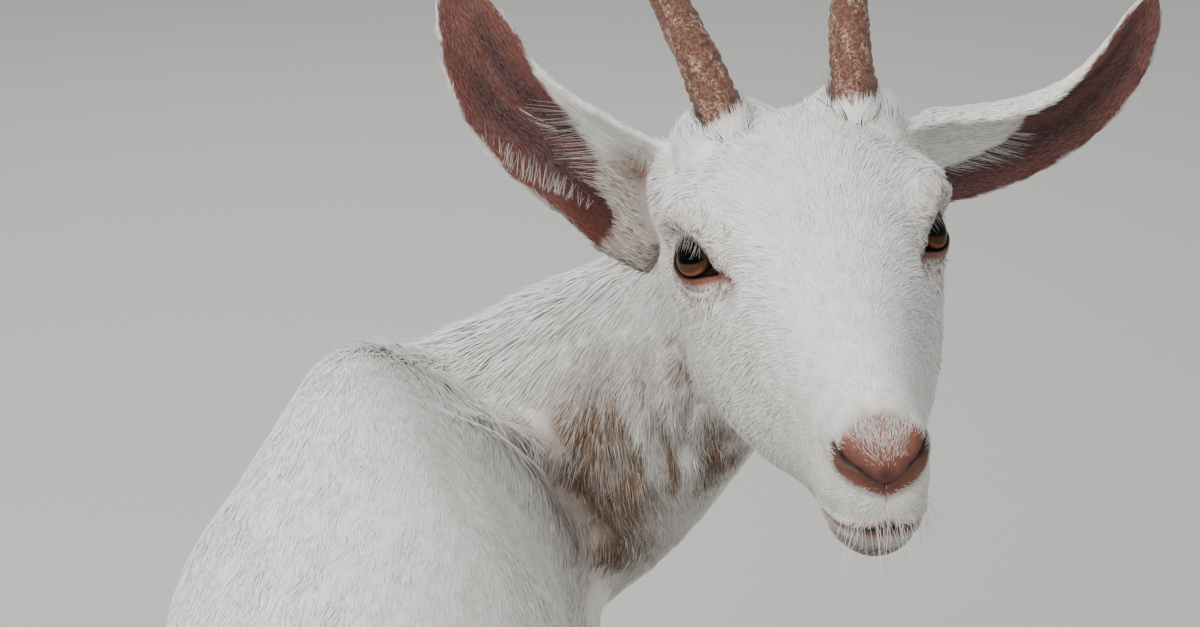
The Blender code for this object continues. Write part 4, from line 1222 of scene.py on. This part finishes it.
LASHES = 30
found = []
for side in SIDES.values():
    nasal, upward, out = eye_axes(side)
    upper = lid_edge[(lid_edge[:, 1] > 0.05) & (lid_edge[:, 0] < 0.62)]
    for k in np.linspace(0, len(upper) - 1, LASHES).astype(int):
        a, u = upper[k] + own.normal(0, 0.02, 2)
        h = math.sqrt(max((LID_RADIUS + 0.03) ** 2 - a * a - u * u, 0.3))
        root = eye_middle(side) + nasal * a + upward * u + out * h
        way = unit(0.42 * out - 0.84 * upward + nasal * (0.28 + 0.12 * own.normal()))
        found.append((from_head(root), out @ head_axes, way, 0.05 * upward + 0.05 * out,
                      own.uniform(0.34, 0.66) * (0.6 + 0.4 * rise(u, 0.2, 0.7))))
grow("lashes", found, 0.0072, round_head)

# Whiskers: sideways place and height under the nose
WHISKERS = 70
found = []
for _ in range(WHISKERS):
    x, z = own.uniform(-1.5, 1.5), own.uniform(-3.0, -2.2)
    root, out = on_hide(np.array((x, 16.0, z - 0.12 * abs(x))), np.array((0.0, -1.0, 0.0)))
    if root is not None:
        way = unit(np.array((0.35 * x + 0.25 * own.normal(), 0.55, -0.75 + 0.15 * own.normal())))
        found.append((root, out, way, np.array((0.0, -0.08, -0.22)), own.uniform(0.5, 1.6)))
grow("whiskers", found, 0.011, round_head)


def ear_hair(side, share, across, to_share, to_across, length):
    """One hair from a place on the cup of an ear towards another, over the hollow between them."""
    rows = np.array(EARS[side], float)

    def place(s, c):
        row = row_at(s * (len(rows) - 1), rows)
        *_, across_axis, facing = (v[0] for v in on_ear(side, row[None, :3]))
        start = row[:3] + across_axis * c * row[3] + facing * 3.0
        return (*on_hide(start, -facing), facing)

    root, out, facing = place(share, across)
    goal, _, _ = place(to_share, to_across)
    if root is None or goal is None:
        return None
    way = unit(unit((goal - root) @ head_axes.T) + 0.22 * facing)
    return root, out, way, -0.10 * facing, length


# Rows of hairs in the ears. Along a row the root, the place it points to (each as share of the ear's
# length and place across) and the length change from one line to the next.
EAR_HAIRS = (("right", [((0.457, 0.66), (0.54, 0.12), 1.5), ((0.389, 0.59), (0.47, 0.0), 1.8),
                        ((0.352, 0.45), (0.44, -0.05), 1.9), ((0.294, 0.16), (0.385, -0.3), 1.9),
                        ((0.262, -0.02), (0.36, -0.38), 1.7), ((0.239, -0.24), (0.34, -0.45), 1.4),
                        ((0.2, -0.42), (0.26, -0.55), 0.6), ((0.168, -0.46), (0.21, -0.6), 0.4)], 75),
             ("right", [((0.50, -0.93), (0.52, -0.66), 0.8), ((0.43, -0.88), (0.46, -0.6), 1.0),
                        ((0.382, -0.82), (0.41, -0.5), 1.0), ((0.321, -0.76), (0.34, -0.5), 0.8),
                        ((0.26, -0.7), (0.28, -0.5), 0.5)], 75),
             ("right", [((0.43, 0.16), (0.50, -0.10), 1.0), ((0.50, 0.02), (0.58, -0.1), 0.7)], 12),
             ("right", [((0.24, 0.75), (0.17, -0.1), 1.4), ((0.16, 0.55), (0.12, -0.2), 1.6),
                        ((0.12, 0.2), (0.09, -0.4), 1.3)], 75),
             ("left", [((0.412, 0.2), (0.5, 0.5), 1.3), ((0.356, 0.43), (0.43, 0.7), 1.5),
                       ((0.289, 0.51), (0.38, 0.7), 1.5), ((0.22, 0.56), (0.32, 0.7), 1.3)], 75))
found = []
for side, rows, hairs in EAR_HAIRS:
    for _ in range(hairs):
        at = own.uniform(0, len(rows) - 1)
        i = min(int(at), len(rows) - 2)
        mixed = [np.array(a, float) * (1 - at + i) + np.array(b, float) * (at - i)
                 for a, b in zip(rows[i], rows[i + 1])]
        strayed = own.normal(0, 0.012, 2)
        made = ear_hair(side, *(mixed[0] + strayed), *(mixed[1] + strayed * 2),
                        float(mixed[2]) * own.uniform(0.7, 1.1))
        if made:
            found.append(made)
grow("ear_hairs", found, 0.0085, round_ears)


# ---------------------------------------------------------------- eyes

# Each eye is a glass ball, painted from behind with an amber iris and the wide level pupil of a
# goat, and set behind the lids.
TURNS, STEPS = 96, 64


def closed_tube(name, rows, tips):
    """A mesh of rings of head places, closed by a point at each end."""
    bm = bmesh.new()
    grid = [[bm.verts.new(q) for q in from_head(row)] for row in rows]
    first, last = [bm.verts.new(from_head(tip)) for tip in tips]
    around = [(k, (k + 1) % len(grid[0])) for k in range(len(grid[0]))]
    for row, following in zip(grid, grid[1:]):
        for k, after in around:
            bm.faces.new((row[k], row[after], following[after], following[k]))
    for k, after in around:
        bm.faces.new((grid[0][k], first, grid[0][after]))
        bm.faces.new((grid[-1][k], grid[-1][after], last))
    bmesh.ops.recalc_face_normals(bm, faces=bm.faces)
    mesh = mesh_from(bm, name)
    mesh.shade_smooth()
    return mesh


def eyeball(name, side):
    """A ball with a raised cornea, marked with its places across and up the eye."""
    nasal, upward, out = eye_axes(side)
    polar = np.linspace(0, math.pi, STEPS + 1)
    turn = np.linspace(0, 2 * math.pi, TURNS, endpoint=False)
    p, t = np.meshgrid(polar, turn, indexing="ij")
    radius = EYE_RADIUS + 0.05 * bell(p, 0.45)
    a, u, h = radius * np.sin(p) * np.cos(t), radius * np.sin(p) * np.sin(t), radius * np.cos(p)
    points = eye_middle(side) + a[..., None] * nasal + u[..., None] * upward + h[..., None] * out
    mesh = closed_tube(name, points[1:-1], (points[0, 0], points[-1, 0]))
    across, up, _ = in_eye(side, in_head(places(mesh)))
    give(mesh, "eye_across", across)
    give(mesh, "eye_up", up)
    return mesh


def oval(tree, centre, radii, tilt, power=2.0):
    """Below 1 inside an oval in the plane of the eye, tilted by some degrees; 2 is an ellipse's
    power, and a higher one is squarer."""
    c, s = math.cos(math.radians(tilt)), math.sin(math.radians(tilt))
    offsets = []
    for name, middle in zip(("eye_across", "eye_up"), centre):
        place = add(tree, "Attribute", None, "Fac", attribute_name=name)
        offsets.append(add(tree, "Math", {0: place, 1: -middle}, operation="ADD"))
    powers = []
    for shares, radius in (((c, s), radii[0]), ((-s, c), radii[1])):
        a, u = [add(tree, "Math", {0: offset, 1: share / radius}, operation="MULTIPLY")
                for offset, share in zip(offsets, shares)]
        away = add(tree, "Math", {0: a, 1: u}, operation="ADD")
        away = add(tree, "Math", {0: away}, operation="ABSOLUTE")
        powers.append(add(tree, "Math", {0: away, 1: power}, operation="POWER"))
    return add(tree, "Math", dict(enumerate(powers)), operation="ADD")


glass, tree = new_material("painted_glass_eye", Roughness=0.12, IOR=1.10, Coat_Weight=0.04,
                           Coat_Roughness=0.02)
limbus = oval(tree, (0.13, 0.14), (0.80, 0.62), 10)
slit = oval(tree, (0.10, 0.45), (0.66, 0.44), 15, 3.0)
fleck = add(tree, "TexNoise", {"Vector": add(tree, "TexCoord", None, "Object"), "Scale": 1200.0,
                               "Detail": 5.0}, "Fac")
eye_up = add(tree, "Attribute", None, "Fac", attribute_name="eye_up")
# Each goes smoothly from 0 at the first number to 1 at the second
amber_ring, out_of_lid_shade, brown_ring, dark_ring, beyond, pupil = [
    add(tree, "MapRange", {"Value": value, "From Min": start, "From Max": end}, "Result",
        interpolation_type="SMOOTHSTEP")
    for value, start, end in ((limbus, 0.42, 0.70), (eye_up, 0.10, -0.16), (limbus, 0.72, 0.90),
                              (limbus, 0.86, 1.0), (limbus, 1.12, 1.3), (slit, 1.5, 0.7))]
# Amber only on the lower iris; above it the iris stays dark brown, painted shade of the upper lid and
# lashes, and the whole iris is painted darker for that shade
amber = add(tree, "Math", {0: amber_ring, 1: out_of_lid_shade}, operation="MULTIPLY")
white_of_eye = layered(tree, "#1E1110", (fleck, "#35221F"))
colour = layered(tree, "#2E1E13", (fleck, "#543B29"), (amber, "#74492F"), (brown_ring, "#361E14"),
                 (dark_ring, "#0D0605"), (beyond, white_of_eye), (pupil, "#030304"))
finish_material(tree, colour)
for name, side in SIDES.items():
    eye = new_object(f"glass_eye_{name}", eyeball(f"glass_eye_{name}", side), glass)
    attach(eye, "root")
    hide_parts(f"eye_{name}")


# ---------------------------------------------------------------- horns

# Keratin sheaths, ringed near the root and flaking where they have been rubbed, fixed over the
# bosses of the skull. A row is (right, nose, forehead, half across, half deep) in head coordinates.
HORNS = {
    "right": [(2.2, -4.2, 3.0, 0.86, 1.2), (2.6, -4.9, 4.5, 0.86, 1.2), (3.3, -6.0, 6.4, 0.76, 1.05),
              (4.0, -7.3, 8.1, 0.66, 0.92), (4.8, -9.2, 9.7, 0.54, 0.76), (5.6, -11.6, 10.9, 0.4, 0.56),
              (6.3, -14.2, 11.5, 0.24, 0.34), (6.7, -15.9, 11.6, 0.1, 0.12)],
    "left": [(-2.3, -4.2, 3.0, 0.84, 1.2), (-2.5, -4.9, 4.4, 0.84, 1.2), (-2.6, -6.0, 6.0, 0.75, 1.05),
             (-2.9, -7.4, 7.5, 0.65, 0.92), (-3.4, -9.4, 9.0, 0.53, 0.76), (-4.0, -11.8, 10.1, 0.4, 0.56),
             (-4.6, -14.4, 10.7, 0.24, 0.34), (-4.9, -16.1, 10.8, 0.1, 0.12)],
}
HORN_TURNS, HORN_STEPS = 72, 220
# Half across at the root, where the relief is deepest
HORN_HALF = 0.86


def horn_path(name):
    """Rows along the middle of a horn, their way from the root, and the axes along, across and
    deep."""
    path = smooth_rows(HORNS[name], HORN_STEPS)
    run = np.concatenate(([0], np.cumsum(np.linalg.norm(np.diff(path[:, :3], axis=0), axis=1))))
    tangent = unit(np.gradient(path[:, :3], axis=0))
    side = unit(np.array((1.0, 0, 0)) - tangent * tangent[:, :1])
    return path, run, tangent, side, np.cross(tangent, side)


def horn_mesh(name):
    """A horn's sheath, with its growth rings, relief and flakes."""
    path, run, tangent, side, deep = horn_path(name)
    angle = np.linspace(0, 2 * math.pi, HORN_TURNS, endpoint=False)
    points = (path[:, None, :3] + side[:, None] * np.cos(angle)[:, None] * path[:, None, 3:4]
              + deep[:, None] * np.sin(angle)[:, None] * path[:, None, 4:5])
    radial = unit(points - path[:, None, :3])
    flat = points.reshape(-1, 3)
    size = points.shape[:2]
    fading = (1 - run / run[-1])[:, None]
    rings_at = np.cumsum(np.random.default_rng(3).uniform(0.35, 0.75, 60))
    wobble = 0.12 * waves(flat, 1.6, 61).reshape(size)
    nearest = np.min(np.abs((run[:, None] + wobble)[..., None] - rings_at), axis=-1)
    rough = -0.06 * bell(nearest, 0.09) * fading
    rough = rough + 0.03 * waves(flat, 0.9, 62).reshape(size) * (0.3 + fading)
    rough = rough + 0.012 * waves(flat, 0.3, 64).reshape(size)
    round_horn = np.stack(np.broadcast_arrays(angle * 2.2, run[:, None] * 0.8, 0.0), -1).reshape(-1, 3)
    flakes = waves(round_horn, 1.1, 63).reshape(size)
    rough += 0.03 * rise(flakes, 0.1, 0.35) * (0.4 + fading)
    points = points + radial * (rough * path[:, 3:4] / HORN_HALF)[..., None]
    mesh = closed_tube(f"horn_sheath_{name}", points,
                       (path[0, :3] - tangent[0] * 0.05, path[-1, :3] + tangent[-1] * 0.08))
    give(mesh, "flake", np.concatenate((rise(flakes, 0.05, 0.3).ravel(), (0, 0))))
    return mesh


# Horn keratin: warm red-brown where it is sound, dry and grey-tan where it flakes
keratin, tree = new_material("horn_keratin", Roughness=0.5, IOR=1.54)
at = add(tree, "TexCoord", None, "Object")
streaks, grime = [add(tree, "TexNoise", {"Vector": at, "Scale": scale, "Detail": 5.0}, "Fac")
                  for scale in (350.0, 900.0)]
crackle = add(tree, "TexNoise", {"Vector": at, "Scale": 800.0, "Detail": 6.0, "Roughness": 0.75}, "Fac")
chips = add(tree, "MapRange", {"Value": crackle, "From Min": 0.46, "From Max": 0.58}, "Result",
            interpolation_type="SMOOTHSTEP")
flake = add(tree, "Attribute", None, "Fac", attribute_name="flake")
worn = add(tree, "Math", {0: flake, 1: 0.6}, operation="MULTIPLY")
worn = add(tree, "Math", {0: worn, 1: 0.3}, operation="ADD")
worn = add(tree, "Math", {0: worn, 1: chips}, operation="MULTIPLY")
sound = layered(tree, "#451B0E", (streaks, "#6F3823"))
dry = layered(tree, "#8A6B52", (grime, "#C6AF95"))
finish_material(tree, layered(tree, sound, (worn, dry)), crackle, 0.9, 0.001)
for name in SIDES:
    horn = new_object(f"horn_sheath_{name}", horn_mesh(name), keratin)
    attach(horn, "root")
    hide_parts(f"horn_{name}")


# ---------------------------------------------------------------- hair at the feet of the horns

# The hair of the poll climbs onto the horns and grips them, highest in front and between the two.
# The tufts are rooted on the sheaths themselves. Heights are centimetres up each horn, by the
# direction round it: to the goat's right, to the forehead, to its left and to the back.
COLLARS = {"right": (0.1, 0.45, 0.95, 0.4), "left": (0.35, 0.5, 0.7, 0.4)}
COLLAR_TUFTS = 1800
for index, name in enumerate(SIDES):
    total = COLLAR_TUFTS
    path, run, *axes = horn_path(name)
    angle = own.uniform(0, 2 * math.pi, total)
    top = np.interp(angle, np.radians((0, 90, 180, 270)), COLLARS[name], period=2 * math.pi)
    up_horn = own.uniform(0.0, 1.0, total) * top
    rows, along_horn, side_way, deep_way = [
        np.stack([np.interp(up_horn, run, column) for column in values.T], 1)
        for values in (path, *axes)]
    off = (side_way * (np.cos(angle) * rows[:, 3])[:, None]
           + deep_way * (np.sin(angle) * rows[:, 4])[:, None])
    out = unit(off) @ head_axes
    roots = from_head(rows[:, :3] + off * 1.04)
    way = flattened(unit(along_horn @ head_axes + 0.16 * own.normal(size=(total, 3))), out)
    tufts(f"coat_collar_{name}", roots, out, way, own.uniform(0.55, 1.05, total),
          own.uniform(0.03, 0.05, total), own.uniform(6, 14, total),
          white_marks(own.uniform(0, 0.7, total)), np.stack((angle / 6.3 + 1.1 * index, up_horn / 3), 1),
          coat)


# ---------------------------------------------------------------- hooves

# Cloven hooves and dewclaws of grey keratin, grown in bands and worn flat underneath.
HOOF_FINE = 0.0009
# Up to this height over the ground a claw is part of its flat sole
SOLE_FROM = 0.0012
hoof_horn, tree = new_material("hoof_keratin", Roughness=0.55, IOR=1.54)
height = add(tree, "SeparateXYZ", {0: add(tree, "TexCoord", None, "Object")}, "Z")
bands = add(tree, "TexNoise", {"Scale": 900.0, "Detail": 2.0, "W": height}, "Fac",
            noise_dimensions="1D")
finish_material(tree, layered(tree, "#3B322B", (bands, "#7A6A5A")), bands, 0.4, 0.0008)


def hoof(name):
    """The mesh of a claw or dewclaw, softened, and flat where it stands."""
    mesh = fused(name + "_horn", mesh_from(node_copy(name), name + "_horn"), HOOF_FINE)
    points = places(mesh)
    links, number = links_of(mesh)
    for _ in range(6):
        points = relaxed(points, links, number)
    if name.startswith("claw"):
        points[points[:, 2] < SOLE_FROM, 2] = 0.0
    set_places(mesh, points)
    mesh.shade_smooth()
    return mesh


for leg in ("foreleg_left", "foreleg_right", "hindleg_left", "hindleg_right"):
    for name in [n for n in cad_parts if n.endswith(("outer", "inner")) and leg in n]:
        claw = new_object(name + "_horn", hoof(name), hoof_horn)
        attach(claw, "root")
        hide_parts(name)


# ---------------------------------------------------------------- floor, light and camera

# A grey studio floor just under the soles, a large soft key high in front of the face, a weak fill
# from the side and a light from behind, and the camera close to the head and above it.
FLOOR_RADIUS = 9.0
FLOOR_DROP = 0.0002
LIGHTS_AIM = Vector((0, 0.0, 0.5))
floor_material, _ = new_material("studio_floor", Roughness=0.9, Base_Color=linear("#B9B7B3"))
bm = bmesh.new()
bmesh.ops.create_circle(bm, cap_ends=True, segments=96, radius=FLOOR_RADIUS)
mesh = mesh_from(bm, "studio_floor")
mesh.transform(Matrix.Translation((0, 0, -FLOOR_DROP)))
new_object("studio_floor", mesh, floor_material)

world = bpy.data.worlds.new("studio")
bpy.context.scene.world = world
world.use_nodes = True
world.node_tree.nodes["Background"].inputs["Color"].default_value = linear("#DFE2E6")
world.node_tree.nodes["Background"].inputs["Strength"].default_value = 0.85
for name, place, size, power in (("key_light", (1.1, 0.9, 2.3), 2.2, 92.0),
                                 ("fill_light", (-1.6, 1.6, 1.4), 2.4, 8.0),
                                 ("back_light", (0.3, -2.0, 1.8), 1.6, 16.0)):
    light = bpy.data.lights.new(name, "AREA")
    light.energy = power
    light.size = size
    lamp = bpy.data.objects.new(name, light)
    lamp.location = place
    lamp.rotation_euler = (LIGHTS_AIM - Vector(place)).to_track_quat("-Z", "Y").to_euler()
    bpy.context.scene.collection.objects.link(lamp)

camera = bpy.data.cameras.new("camera")
camera.sensor_width = 36.0
camera.lens = camera.sensor_width / 2 / HALF_WIDE
camera_object = bpy.data.objects.new("camera", camera)
camera_object.location = CAMERA
camera_object.rotation_euler = Vector(ahead).to_track_quat("-Z", "Y").to_euler()
bpy.context.scene.collection.objects.link(camera_object)
bpy.context.scene.camera = camera_object
